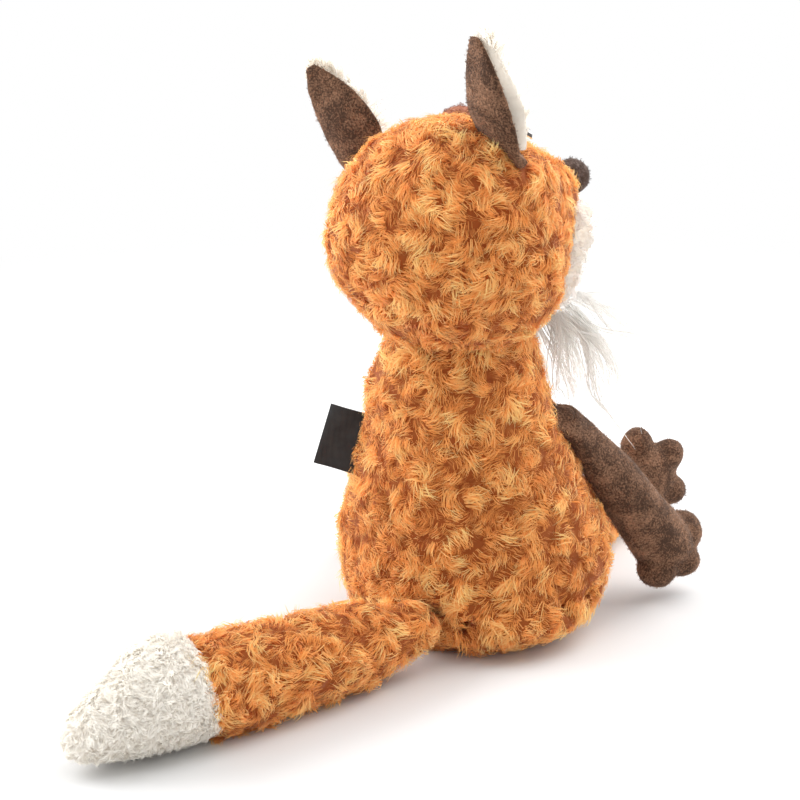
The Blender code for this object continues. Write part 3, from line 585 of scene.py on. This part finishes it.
def sow(piece, tufts, density, seed, jitter=0.28, clump=0.005, ruffled=0.55):
    """Sets tufts over piece along its kept lay, density tufts to a square centimetre, and joins them to it.

    Tufts within about clump of each other are alike in length and tint and turn the same way, by up to
    ruffled radians."""
    bag = bpy.data.collections.new(piece.name + " tufts")
    for one in tufts:
        bag.objects.link(one)
    tree = bpy.data.node_groups.new(piece.name + " pile", "GeometryNodeTree")
    tree.interface.new_socket("Cloth", in_out="INPUT", socket_type="NodeSocketGeometry")
    tree.interface.new_socket("Cloth", in_out="OUTPUT", socket_type="NodeSocketGeometry")

    def node(kind, **facts):
        return add_node(tree, kind, **facts)

    def kept(name, kind):
        return live(node("GeometryNodeInputNamedAttribute", data_type=kind, Name=name).outputs)[0]

    def chance(kind, low, high, number):
        made = node("FunctionNodeRandomValue", data_type=kind, Seed=number)
        inputs = live(made.inputs)
        inputs[0].default_value, inputs[1].default_value = low, high
        return live(made.outputs)[0]

    link = tree.links.new
    start, end = node("NodeGroupInput"), node("NodeGroupOutput")
    scatter = node("GeometryNodeDistributePointsOnFaces", distribute_method="RANDOM", Seed=seed)
    scatter.inputs["Density"].default_value = density * CENTIMETRE_SQUARES
    link(start.outputs[0], scatter.inputs["Mesh"])
    if "cover" in piece.data.attributes:
        link(kept("cover", "FLOAT"), scatter.inputs["Selection"])
    stand = node("FunctionNodeAxesToRotation", primary_axis="Z", secondary_axis="X")
    link(kept("grow", "FLOAT_VECTOR"), stand.inputs[0])
    link(kept("lay", "FLOAT_VECTOR"), stand.inputs[1])
    stock = node("GeometryNodeCollectionInfo", Collection=bag, Separate_Children=True, Reset_Children=True)
    clumps = node("ShaderNodeTexNoise", Scale=1 / clump, Detail=1.0)
    alike = node("ShaderNodeMapRange", From_Min=0.36, From_Max=0.64)
    link(clumps.outputs["Fac"], alike.inputs["Value"])
    swelling = node("ShaderNodeMapRange", To_Min=0.72, To_Max=1.22)
    link(alike.outputs["Result"], swelling.inputs["Value"])
    own = node("ShaderNodeMath", operation="MULTIPLY")
    link(swelling.outputs["Result"], own.inputs[0])
    link(chance("FLOAT", 0.8, 1.2, seed + 1), own.inputs[1])
    size = node("ShaderNodeMath", operation="MULTIPLY")
    link(kept("pile", "FLOAT"), size.inputs[0])
    link(own.outputs[0], size.inputs[1])
    plant = node("GeometryNodeInstanceOnPoints", Pick_Instance=True)
    link(scatter.outputs["Points"], plant.inputs["Points"])
    link(stock.outputs[0], plant.inputs["Instance"])
    link(chance("INT", 0, len(tufts) - 1, seed + 2), plant.inputs["Instance Index"])
    link(stand.outputs[0], plant.inputs["Rotation"])
    link(size.outputs[0], plant.inputs["Scale"])
    centred = node("ShaderNodeVectorMath", operation="SUBTRACT")
    link(clumps.outputs["Color"], centred.inputs[0])
    centred.inputs[1].default_value = (0.5, 0.5, 0.5)
    together = node("ShaderNodeVectorMath", operation="SCALE", Scale=ruffled * 2)
    link(centred.outputs[0], together.inputs[0])
    parted = node("GeometryNodeRotateInstances")
    link(plant.outputs[0], parted.inputs["Instances"])
    link(together.outputs[0], parted.inputs["Rotation"])
    ruffle = node("GeometryNodeRotateInstances")
    link(parted.outputs[0], ruffle.inputs["Instances"])
    link(chance("FLOAT_VECTOR", (-jitter, -jitter, -jitter * 1.6), (jitter, jitter, jitter * 1.6), seed + 3),
         ruffle.inputs["Rotation"])
    shade = node("GeometryNodeStoreNamedAttribute", data_type="FLOAT", domain="INSTANCE", Name="tint")
    link(ruffle.outputs[0], shade.inputs["Geometry"])
    blended = node("ShaderNodeMix", data_type="FLOAT", Factor=0.6)
    link(chance("FLOAT", 0.0, 1.0, seed + 4), live(blended.inputs)[1])
    link(alike.outputs["Result"], live(blended.inputs)[2])
    link(live(blended.outputs)[0], live(shade.inputs)[-1])
    whole = node("GeometryNodeRealizeInstances")
    link(shade.outputs[0], whole.inputs[0])
    join = node("GeometryNodeJoinGeometry")
    link(whole.outputs[0], join.inputs[0])
    link(start.outputs[0], join.inputs[0])
    link(join.outputs[0], end.inputs[0])
    piece.modifiers.new("pile", "NODES").node_group = tree
    apply_modifiers(piece)
    for one in tufts:
        bpy.data.meshes.remove(one.data)
    bpy.data.collections.remove(bag)
    bpy.data.node_groups.remove(tree)


def press_on_floor(piece, clearance=0.0002):
    """Pile that would reach through the floor lies on it."""
    points, _ = surface(piece)
    low = points[:, 2] < clearance
    points[low, 2] = clearance + 0.0004 * (1 - np.exp(points[low, 2] * 400))
    move_points(piece, points)


def plush_tufts(material, reach, width, curl, seed, blades, spread, kinds=8):
    """A few unlike tufts, which sow picks from."""
    chance = np.random.default_rng(seed)
    return [tuft(f"lock_{k}", chance, blades, reach, width, spread, curl, material) for k in range(kinds)]


def finish_piece(piece, nodes, body):
    """Lays pile that reaches below the floor on it, sets the padded piece to ride on body and hides the solids
    that it replaces.
    """
    press_on_floor(piece)
    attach(piece, body)
    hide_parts(*nodes)


def orange_piece(name, nodes, body, flow, seed, voxel=0.004, swell=0.0026, form=None, cut=None, trim=(),
                 shaped_by=()):
    """A stuffed piece of curly orange plush in the place of nodes, and as wide as those in shaped_by."""
    wishes = pile()
    finish = bpy.data.materials.get("curly orange plush") or plush_finish()
    piece = stuffed(name, nodes + shaped_by, voxel, swell=swell, form=form, cut=cut)
    piece.data.materials.append(finish)
    comb(piece, wishes.whirl_spacing, 0.95, 0.72, flow, seed, relief=wishes.whirl_relief, trim=trim)
    locks = plush_tufts(finish, wishes.plush_length, wishes.plush_width, 1.7, seed, blades=10, spread=0.0021)
    sow(piece, locks, wishes.plush_density, seed, jitter=0.20, clump=0.0078, ruffled=0.75)
    finish_piece(piece, nodes, body)


def velour_piece(name, nodes, body, flow, seed, material, voxel=0.0022, soften=3,
                 swell=0.0006, length_share=1.0, form=None):
    """A stuffed piece of short velour in the place of nodes."""
    wishes = pile()
    piece = stuffed(name, nodes, voxel, soften=soften, swell=swell, form=form)
    piece.data.materials.append(material)
    comb(piece, 0.012, 0.35, 0.5, flow, seed, uneven=0.1)
    fuzz = plush_tufts(material, wishes.velour_pile * length_share, 0.00016, 0.8, seed, blades=4,
                       spread=0.0008, kinds=4)
    sow(piece, fuzz, wishes.velour_density, seed, jitter=0.5, ruffled=0.5)
    finish_piece(piece, nodes, body)


def white_piece(name, nodes, body, flow, seed, reach, density, voxel, soften=3, swell=0.001, lean=0.45,
                whirl=0.5, relief=0.0006, curl=1.6, form=None, cut=None, away_from=None,
                ruffled=1.2, finish=None):
    """A piece of dense white plush in the place of nodes; no pile grows towards the node away_from."""
    finish = finish or dense_white()
    piece = stuffed(name, nodes, voxel, soften=soften, swell=swell, form=form, cut=cut)
    piece.data.materials.append(finish)
    if away_from:
        _, normals = surface(piece)
        keep_number(piece, "cover", normals @ way_between(away_from, nodes[0]) > 0.25)
    comb(piece, 0.006, whirl, lean, flow, seed, relief=relief, uneven=0.15)
    fur = plush_tufts(finish, reach, 0.00046, curl, seed, blades=5, spread=0.0009)
    sow(piece, fur, density, seed, clump=0.003, ruffled=ruffled)
    finish_piece(piece, nodes, body)


def middle_of(node):
    """The mean of a CAD node's points."""
    return np.mean([vertex.co for vertex in frame["nodes"][node].data.vertices], axis=0)


def way_between(start, end):
    """The direction from one CAD node's middle to another's."""
    return np.array(Vector(middle_of(end) - middle_of(start)).normalized())


def seam_of(body):
    """Where a moving body is sewn on: the place of its joint."""
    return np.array(next(joint for joint in frame["joints"] if joint["child"] == body)["pos_m"])


def tree_of(nodes):
    """The CAD surfaces of these nodes, for finding the nearest point or the first face hit."""
    points, faces = [], []
    for node in nodes:
        mesh = frame["nodes"][node].data
        first = len(points)
        points += [vertex.co.copy() for vertex in mesh.vertices]
        faces += [[first + index for index in face.vertices] for face in mesh.polygons]
    return BVHTree.FromPolygons(points, faces)


def smooth_share(value, low, high):
    """0 below low, 1 above high, and a smooth rise between."""
    share = np.clip((value - low) / (high - low), 0, 1)
    return share * share * (3 - 2 * share)


def bulged(*spots, whole=False):
    """Pushes the surface at places given along RIGHT and UP from TARGET.

    A spot is (right, up, way it is pushed in degrees from RIGHT, reach, height). Only what faces that
    way moves, or everything near the spot if whole is set."""
    def shaped(points, normals):
        apart = points - np.array(TARGET)
        right, up = apart @ np.array(RIGHT), apart @ np.array(UP)
        made = points.copy()
        for x, y, turn, reach, height in spots:
            way = np.array(RIGHT * math.cos(math.radians(turn)) + UP * math.sin(math.radians(turn)))
            near = np.exp(-((right - x) ** 2 + (up - y) ** 2) / reach ** 2)
            facing = 1.0 if whole else np.clip(normals @ way, 0, 1)
            made += way * (height * near * facing)[:, None]
        return made

    return shaped


def body_form(points, normals):
    """Fuller at the shoulders and at the sides, and settled flat on the floor behind."""
    made = bulged((-0.013, 0.011, 180, 0.018, 0.0045), (-0.030, -0.062, 180, 0.032, 0.0020),
                  (0.097, -0.081, 0, 0.024, 0.0062))(points + normals * 0.0010, normals)
    rear = np.array((BACK + RIGHT * 0.6 - Vector((0, 0, BACK.z))).normalized())
    settled = 0.0110 * np.clip(normals @ rear, 0, 1) * (1 - smooth_share(points[:, 2], 0.012, 0.036))
    return made + rear * settled[:, None]


def head_form(points, normals):
    """Fuller at the back of the cheeks, flatter over the brow and where the white face begins."""
    return bulged((-0.035, 0.076, 180, 0.046, 0.0026), (-0.012, 0.131, 110, 0.014, 0.0030),
                  (-0.034, 0.112, 170, 0.018, 0.0034), (-0.034, 0.056, 195, 0.014, 0.0034),
                  (-0.020, 0.026, 225, 0.014, -0.0020), (0.086, 0.074, 0, 0.032, -0.0052),
                  (0.069, 0.125, 50, 0.015, -0.0060))(
        points + normals * 0.0006, normals)


EAR_FORMS = {
    "left": bulged((-0.023, 0.151, 45, 0.030, 0.0034), (-0.042, 0.161, 120, 0.014, 0.0020),
                   (-0.046, 0.145, 180, 0.016, 0.0024), whole=True),
    "right": bulged((0.036, 0.166, 180, 0.045, 0.0026), (0.034, 0.126, 190, 0.016, 0.0016),
                    (0.036, 0.178, -90, 0.022, 0.0026), whole=True),
}


def lining_form(side):
    """The lining follows its ear and stands thicker on its furry side."""
    front = way_between(f"ear_back_{side}", f"ear_lining_{side}")
    puffed = bulged((0.0575, 0.134, 0, 0.020, 0.0060))

    def shaped(points, normals):
        thicker = 0.0010 + 0.0022 * np.clip(normals @ front, 0, 1)
        made = EAR_FORMS[side](points, normals) + front * thicker[:, None]
        return puffed(made, normals)

    return shaped


def brown_velour():
    shades = colours()
    return bpy.data.materials.get("brown velour") or velour_finish(
        "brown velour", tuple(shades.velour_shaded), tuple(shades.velour_lit))


# Pieces

class FOX_OT_body(Operator):
    """Makes the stuffed body in curly orange plush"""
    bl_idname = "plush_fox.body"
    bl_label = "Body"

    def execute(self, context):
        orange_piece("body_plush", ("body_skin", "body_filling", "pellet_bag"), "body", (0, 0.1, -1), 11,
                     form=body_form)
        return {"FINISHED"}


class FOX_OT_head(Operator):
    """Makes the stuffed head in curly orange plush"""
    bl_idname = "plush_fox.head"
    bl_label = "Head"

    def execute(self, context):
        orange_piece("head_plush", ("head_skin", "head_filling"), "head", (0, 0.6, -1), 23, form=head_form,
                     trim=("nose", "face_panel", "eyelid_left", "eyelid_right"))
        return {"FINISHED"}


class FOX_OT_face(Operator):
    """Makes the white face, the nose and the eyelids, and gives the eyes their plastic"""
    bl_idname = "plush_fox.face"
    bl_label = "Face"

    def execute(self, context):
        shades, wishes = colours(), pile()
        white_piece("face_plush", ("face_panel",), "head", (0.2, 1, -0.2), 31, wishes.panel_length, 60, 0.0022,
                    form=lambda points, normals: points + normals * 0.0016,
                    finish=white_finish("white face plush", 0.85, tuple(shades.white_tip), WHITE))
        # The nose and the eyelids get darker and paler copies of their velour colour as painted shade and
        # painted sheen.
        nose = tuple(shades.nose_velour)
        velour_piece(
            "nose_velour", ("nose",), "head", (0, 1, 0), 37,
            velour_finish("nose velour", mixed(nose, BLACK, 0.35), mixed(nose, WHITE, 0.12), 0.005),
            voxel=0.0011, swell=0.0004, form=lambda points, normals: points + normals * 0.0009)
        rust = tuple(shades.rust_velour)
        lids = velour_finish("rust velour", mixed(rust, BLACK, 0.3), mixed(rust, WHITE, 0.12), 0.006)
        for side, seed in (("left", 41), ("right", 43)):
            velour_piece(f"eyelid_velour_{side}", (f"eyelid_{side}",), "head", (0, 1, 0.3), seed, lids,
                         voxel=0.0013, swell=0.0005, length_share=1.5)
        eye = plastic_finish("eye plastic", tuple(shades.eye), 0.12, 1.0)
        washer = plastic_finish("washer plastic", tuple(shades.washer), 0.45, 0.0)
        for side in ("left", "right"):
            for node, finish in ((f"eye_{side}", eye), (f"eye_washer_{side}", washer)):
                for slot in frame["nodes"][node].material_slots:
                    slot.link = "OBJECT"
                    slot.material = finish
        return {"FINISHED"}


HAIR_STEPS = 13
CHIN_FRONT = Vector((-0.375, -0.927, 0.0))
CHIN_ACROSS = Vector((-0.927, 0.375, 0.0))


def random_vector(chance):
    return Vector(chance.normal(0, 1, 3))


def clear_of(toy, spot, clearance=0.0045):
    """The spot, moved out to clearance from the toy's surface if it is nearer than that."""
    near, normal, _, _ = toy.find_nearest(spot, 0.012)
    if near is None:
        return spot
    return spot + normal * max(0.0, clearance - (spot - near).dot(normal))


def lay_hair(curve, toy, spot, heading, reach, droop, bow):
    """One hair from spot, which sinks and bends on its way and stays clear of the toy and the floor."""
    spline = curve.splines.new("POLY")
    spline.points.add(HAIR_STEPS - 1)
    for step in range(HAIR_STEPS):
        share = step / (HAIR_STEPS - 1)
        if step:
            spot = clear_of(toy, spot)
        spline.points[step].co = (*spot, 1)
        spline.points[step].radius = 1.0 - 0.8 * share ** 2
        heading = (heading + DOWN * droop + bow * math.sin(share * 7.0) * 0.6).normalized()
        spot = spot + heading * (reach / (HAIR_STEPS - 1))
        spot.z = max(spot.z, 0.001)


def beard_curve(wishes):
    """The hairs of the beard in their locks; every fifth lock strays to the fox's right."""
    chance = np.random.default_rng(53)
    low, high = (Vector(corner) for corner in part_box("beard"))
    middle = (low + high) / 2
    toy = tree_of(("body_skin", "arm_right", "arm_left", "head_skin"))
    curve = bpy.data.curves.new("beard_hair", "CURVE")
    curve.dimensions = "3D"
    curve.bevel_depth = 0.00019
    curve.bevel_resolution = 0
    for lock in range(wishes.beard_locks):
        side, depth = chance.uniform(-1, 1), chance.uniform(-1, 1)
        start = middle + CHIN_ACROSS * (side * 0.016) + CHIN_FRONT * (0.003 + depth * 0.006)
        start.z = high.z - 0.002 - chance.uniform(0, 0.008)
        if lock % 5 == 0:
            start.z = high.z + chance.uniform(0.0, 0.007)
            reach = wishes.beard_length * chance.uniform(0.50, 0.86)
            aim = RIGHT + CHIN_FRONT * chance.uniform(0.0, 0.4) + DOWN * chance.uniform(0.05, 0.75)
            droop, bend = 0.012, 0.10
        else:
            reach = wishes.beard_length * chance.uniform(0.50, 1.02)
            aim = CHIN_FRONT * chance.uniform(0.1, 0.7) + RIGHT * chance.uniform(0.15, 1.0)
            aim += CHIN_ACROSS * (side * 0.3) + DOWN
            droop, bend = 0.08, 0.20
        aim.normalize()
        bow = random_vector(chance) * bend
        for _ in range(wishes.lock_hairs):
            spot = start + random_vector(chance) * 0.0009
            heading = (aim + random_vector(chance) * 0.024).normalized()
            lay_hair(curve, toy, spot, heading, reach * chance.uniform(0.75, 1.05), droop, bow)
    return curve


class FOX_OT_beard(Operator):
    """Makes the long white hair under the chin"""
    bl_idname = "plush_fox.beard"
    bl_label = "Beard"

    def execute(self, context):
        hair = tuple(colours().hair)
        # The hair's root colour is painted shade, a little greyer than the hair.
        finish = white_finish("long white hair", 0.8, mixed(hair, BLACK, 0.06), hair)
        strands = bpy.data.objects.new("beard_hair_curve", beard_curve(pile()))
        context.scene.collection.objects.link(strands)
        graph = context.evaluated_depsgraph_get()
        mesh = bpy.data.meshes.new_from_object(strands.evaluated_get(graph), depsgraph=graph)
        bpy.data.objects.remove(strands)
        mesh.materials.clear()
        mesh.materials.append(finish)
        piece = bpy.data.objects.new("beard_hair", mesh)
        context.scene.collection.objects.link(piece)
        points, _ = surface(piece)
        # Painted shade: along grows with height, so lower hairs take the greyer root colour.
        keep_number(piece, "along", np.clip(0.75 + (points[:, 2] - points[:, 2].min()) * 2, 0, 1))
        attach(piece, "head")
        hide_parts("beard")
        return {"FINISHED"}


class FOX_OT_ears(Operator):
    """Makes the two ears: velour backs with furry white linings"""
    bl_idname = "plush_fox.ears"
    bl_label = "Ears"

    def execute(self, context):
        wishes = pile()
        for side, seed in (("left", 61), ("right", 67)):
            velour_piece(f"ear_velour_{side}", (f"ear_back_{side}",), f"ear_{side}", (0, 0, 1), seed,
                         brown_velour(), voxel=0.0011, soften=4, swell=0.0003,
                         form=EAR_FORMS[side])
            white_piece(f"ear_fur_{side}", (f"ear_lining_{side}",), f"ear_{side}", (0, 0, 1), seed + 1,
                        wishes.lining_length, 75, 0.0012, soften=2, swell=0.0003, lean=0.42, whirl=0.1,
                        relief=0.0, curl=0.8, away_from=f"ear_back_{side}", ruffled=0.5,
                        form=lining_form(side))
        return {"FINISHED"}


def arm_form(side):
    """The sleeve is drawn in where it is sewn to the body, and the hand is plump."""
    seam = seam_of(f"arm_{side}")
    outward = np.array([0.6 * math.copysign(1, seam[0]), 0, 0.8])

    def shaped(points, normals):
        gap = np.linalg.norm(points - seam, axis=1)
        drawn = 0.0062 * (1 - smooth_share(gap, 0.012, 0.06)) * np.clip(normals @ outward, 0, 1)
        plump = 0.0014 * smooth_share(gap, gap.max() * 0.72, gap.max() * 0.9)
        hand = bulged((0.146, -0.078, -20, 0.011, 0.0040), (0.124, -0.092, 70, 0.012, 0.0034), whole=True)
        return hand(points + normals * (plump - drawn)[:, None], normals)

    return shaped


class FOX_OT_arms(Operator):
    """Makes the two velour arms with their toes"""
    bl_idname = "plush_fox.arms"
    bl_label = "Arms"

    def execute(self, context):
        for side, seed in (("left", 71), ("right", 73)):
            velour_piece(f"arm_velour_{side}", (f"arm_{side}", f"arm_filling_{side}"), f"arm_{side}",
                         (0, -0.4, -1), seed, brown_velour(), form=arm_form(side))
        return {"FINISHED"}


def foot_form(points, normals):
    """A full paw, which sags a little where the leg holds it up."""
    return bulged((0.122, -0.032, -90, 0.030, 0.0024), whole=True)(points + normals * 0.0006, normals)


class FOX_OT_legs(Operator):
    """Makes the two plush legs and their velour feet"""
    bl_idname = "plush_fox.legs"
    bl_label = "Legs and feet"

    def execute(self, context):
        for side, seed in (("left", 81), ("right", 83)):
            orange_piece(f"leg_plush_{side}", (f"leg_{side}", f"leg_filling_{side}"), f"leg_{side}",
                         (0, -1, -0.1), seed, voxel=0.0026, swell=0.0012)
            velour_piece(f"foot_velour_{side}", (f"foot_{side}", f"foot_filling_{side}"), f"leg_{side}",
                         (0, 0, 1), seed + 4, brown_velour(), voxel=0.0020, form=foot_form)
        return {"FINISHED"}


def tail_line():
    """The middle of the tail's white tip and the way to its end."""
    points = np.array([vertex.co for vertex in frame["nodes"]["tail_tip"].data.vertices])
    sleeve = np.array([vertex.co for vertex in frame["nodes"]["tail_sleeve"].data.vertices])
    middle = points.mean(axis=0)
    axis = np.linalg.svd(points - middle, full_matrices=False)[2][0]
    return middle, axis * np.sign(axis @ (middle - sleeve.mean(axis=0))), points


def tail_seam():
    """A point in the slanting seam between the orange and the white, and the way towards the end."""
    middle, axis, points = tail_line()
    aside = np.array(RIGHT) * -0.50 + np.array((0, 0, -0.42))
    slant = axis + aside - axis * (aside @ axis)
    return Vector(middle + axis * (((points - middle) @ axis).min() + 0.0105)), Vector(slant).normalized()


def tail_form(points, normals):
    """A full sleeve that is drawn in at its root seam."""
    gap = np.linalg.norm((points - seam_of("tail"))[:, :2], axis=1)
    full = 0.0034 - 0.0055 * (1 - smooth_share(gap, 0.004, 0.030))
    return spread_on_floor(points + normals * full[:, None], normals, smooth_share(gap, 0.02, 0.06))


def spread_on_floor(points, normals, share):
    """The side of the tail towards the back spreads on the floor, by share of the whole spread."""
    rear = np.array((BACK - Vector((0, 0, BACK.z))).normalized())
    return points + rear * (0.0062 * share * np.clip(normals @ rear, 0, 1))[:, None]


def tail_tip_form(points, normals):
    """Fuller behind the seam, then drawn out to a soft point that lies on the floor."""
    middle, axis, _ = tail_line()
    travel = (points - middle) @ axis
    share = (travel - travel.min()) / np.ptp(travel)
    swell = 1.08 + 0.14 * np.sin(np.clip(share * 1.5, 0, 1) * math.pi) - 0.36 * smooth_share(share, 0.5, 1.05)
    centre = middle + axis * travel[:, None]
    out = points - centre
    out[:, 2] = 0
    made = centre + out * swell[:, None] + axis * (0.0075 * smooth_share(share, 0.5, 1.0))[:, None]
    made[:, 2] = points[:, 2] * swell
    return spread_on_floor(made, normals, 1.0)


class FOX_OT_tail(Operator):
    """Makes the orange tail and its white tip"""
    bl_idname = "plush_fox.tail"
    bl_label = "Tail"

    def execute(self, context):
        spot, way = tail_seam()
        orange_piece("tail_plush", ("tail_sleeve", "tail_filling"), "tail", (0.4, 1, 0), 91, voxel=0.0032,
                     cut=(spot, way), form=tail_form, shaped_by=("tail_tip",))
        white_piece("tail_tip_plush", ("tail_tip",), "tail", (0.4, 1, 0), 97, pile().tip_length, 105, 0.0028,
                    form=tail_tip_form, cut=(spot - way * 0.003, -way), ruffled=0.9)
        return {"FINISHED"}


class FOX_OT_label(Operator):
    """Makes the folded satin label in the side seam"""
    bl_idname = "plush_fox.label"
    bl_label = "Side label"

    def execute(self, context):
        corners = [vertex.co.copy() for vertex in frame["nodes"]["side_label"].data.vertices]
        inner = [corner for corner in corners if corner.x < 0.05]
        outer = [corner for corner in corners if corner.x > 0.057]
        root = sum(inner, Vector()) / len(inner)
        out = (sum(outer, Vector()) / len(outer) - root).normalized()
        seam = max(inner, key=lambda c: c.z) - min(inner, key=lambda c: c.z)
        rise = (seam - out * seam.dot(out)).normalized()
        thick = out.cross(rise).normalized()
        deep = max((corner - root).dot(out) for corner in corners)
        tall = 2 * max(abs((corner - root).dot(rise)) for corner in outer)
        shape = bmesh.new()
        bmesh.ops.create_grid(shape, x_segments=40, y_segments=16, size=0.5)
        for vertex in shape.verts:
            travel, level = vertex.co.x * 2, vertex.co.y
            fold = 1 - abs(travel)
            leaf = math.copysign(0.00035 * min(1.0, abs(travel) * 12), travel)
            bowed = 0.0016 * (fold - 0.4) * level * 2 + 0.0007 * math.sin(fold * 4 + level * 3)
            vertex.co = root + out * (deep * fold) + rise * (level * tall)
            vertex.co += thick * (leaf + bowed) - UP * 0.003
        piece = from_bmesh("label_satin", shape, satin_finish())
        wall = piece.modifiers.new("ribbon", "SOLIDIFY")
        wall.thickness = 0.00035
        wall.offset = 0
        apply_modifiers(piece)
        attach(piece, "body")
        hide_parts("side_label")
        return {"FINISHED"}


def pale_floor():
    """A pale floor that reads as white far from the toy."""
    floor = Finish("pale floor", Roughness=0.9)
    floor.shader.inputs[SPECULAR].default_value = 0.0
    shade = tuple(colours().floor)
    plain = floor.ramp(floor.noise(0.4), (0.0, mixed(shade, BLACK, 0.02)), (1.0, shade))
    seen = floor.node("ShaderNodeLightPath").outputs["Is Camera Ray"]
    brighter = floor.node("ShaderNodeMix", data_type="RGBA")
    factor, near_shade, seen_shade = live(brighter.inputs)
    seen_shade.default_value = (0.705, 0.706, 0.707, 1)
    floor.link(seen, factor)
    floor.link(plain, near_shade)
    floor.colour(live(brighter.outputs)[0])
    away = floor.node("ShaderNodeVectorMath", operation="LENGTH")
    floor.link(floor.place(), away.inputs[0])
    far = floor.node("ShaderNodeMapRange", interpolation_type="SMOOTHSTEP", From_Min=0.3, From_Max=0.75)
    floor.link(away.outputs["Value"], far.inputs["Value"])
    share = floor.node("ShaderNodeMath", operation="MULTIPLY")
    floor.link(far.outputs[0], share.inputs[0])
    floor.link(seen, share.inputs[1])
    white = floor.node("ShaderNodeEmission", Strength=1.0)
    sheet = floor.node("ShaderNodeMixShader")
    floor.link(share.outputs[0], sheet.inputs[0])
    floor.link(floor.shader.outputs[0], sheet.inputs[1])
    floor.link(white.outputs[0], sheet.inputs[2])
    return floor.surface(sheet.outputs[0])


def pale_room(ambient):
    """An even light from all round, at full strength for what looks straight or through gloss at it."""
    world = bpy.data.worlds.new("pale room")
    world.use_nodes = True
    tree = world.node_tree
    link = tree.links.new
    path = add_node(tree, "ShaderNodeLightPath")
    sight = add_node(tree, "ShaderNodeMath", operation="MAXIMUM")
    gloss = add_node(tree, "ShaderNodeMath", operation="MAXIMUM")
    link(path.outputs["Is Camera Ray"], sight.inputs[0])
    link(path.outputs["Is Glossy Ray"], gloss.inputs[0])
    link(path.outputs["Is Transmission Ray"], gloss.inputs[1])
    link(gloss.outputs[0], sight.inputs[1])
    mix = add_node(tree, "ShaderNodeMix", data_type="FLOAT")
    factor, low, high = live(mix.inputs)
    low.default_value, high.default_value = ambient, 1.0
    link(sight.outputs[0], factor)
    background = tree.nodes["Background"]
    background.inputs["Color"].default_value = (1, 1, 1, 1)
    link(live(mix.outputs)[0], background.inputs["Strength"])
    return world


def aimed(name, data, place, way):
    """A lamp or a camera at place that looks along way."""
    seat = bpy.data.objects.new(name, data)
    seat.location = place
    seat.rotation_mode = "QUATERNION"
    seat.rotation_quaternion = way.to_track_quat("-Z", "Y")
    bpy.context.scene.collection.objects.link(seat)
    return seat


class FOX_OT_stage(Operator):
    """Makes the floor, the lamps and the camera"""
    bl_idname = "plush_fox.stage"
    bl_label = "Stage"

    def execute(self, context):
        lamps = context.scene.fox_lamps
        shape = bmesh.new()
        bmesh.ops.create_grid(shape, x_segments=2, y_segments=2, size=6.0)
        from_bmesh("floor", shape, pale_floor())
        context.scene.world = pale_room(lamps.ambient)
        for name, watts, size, place in (
                ("key", lamps.key, 1.2, TARGET - BACK * 0.12 - RIGHT * 0.95 + UP * 0.50),
                ("fill", lamps.fill, 1.3, TARGET - BACK * 0.15 + RIGHT * 0.80 + UP * 0.82),
                ("top", lamps.top, 1.2, TARGET + BACK * 0.25 + Vector((0, 0, 1.15)))):
            light = bpy.data.lights.new(name, "AREA")
            light.energy = watts
            light.size = size
            aimed(name, light, place, TARGET - place)
        camera = bpy.data.cameras.new("camera")
        camera.lens, camera.sensor_width = CAMERA_LENS, CAMERA_SENSOR
        context.scene.camera = aimed("camera", camera, TARGET + BACK * CAMERA_DISTANCE, -BACK)
        context.scene.view_settings.view_transform = "Standard"
        return {"FINISHED"}


class FOX_PT_panel(Panel):
    """The plush fox's pieces, sizes and colours"""
    bl_label = "Plush Fox"
    bl_idname = "FOX_PT_panel"
    bl_space_type = "VIEW_3D"
    bl_region_type = "UI"
    bl_category = "Plush Fox"

    def draw(self, context):
        for group in (context.scene.fox_pile, context.scene.fox_colours, context.scene.fox_lamps):
            box = self.layout.box()
            for name in group.bl_rna.properties.keys():
                if name not in ("rna_type", "name"):
                    box.prop(group, name)
        for operator in PIECES:
            self.layout.operator(operator.bl_idname)


PIECES = (FOX_OT_stage, FOX_OT_body, FOX_OT_head, FOX_OT_face, FOX_OT_beard, FOX_OT_ears, FOX_OT_arms,
          FOX_OT_legs, FOX_OT_tail, FOX_OT_label)
GROUPS = (FoxPile, FoxColours, FoxLamps)


def register():
    for kind in (*GROUPS, *PIECES, FOX_PT_panel):
        bpy.utils.register_class(kind)
    bpy.types.Scene.fox_pile = PointerProperty(type=FoxPile)
    bpy.types.Scene.fox_colours = PointerProperty(type=FoxColours)
    bpy.types.Scene.fox_lamps = PointerProperty(type=FoxLamps)


def unregister():
    for name in ("fox_pile", "fox_colours", "fox_lamps"):
        delattr(bpy.types.Scene, name)
    for kind in reversed((*GROUPS, *PIECES, FOX_PT_panel)):
        bpy.utils.unregister_class(kind)


def main():
    register()
    bpy.ops.plush_fox.stage()
    bpy.ops.plush_fox.body()
    bpy.ops.plush_fox.head()
    bpy.ops.plush_fox.face()
    bpy.ops.plush_fox.beard()
    bpy.ops.plush_fox.ears()
    bpy.ops.plush_fox.arms()
    bpy.ops.plush_fox.legs()
    bpy.ops.plush_fox.tail()
    bpy.ops.plush_fox.label()


if __name__ == "__main__":
    main()
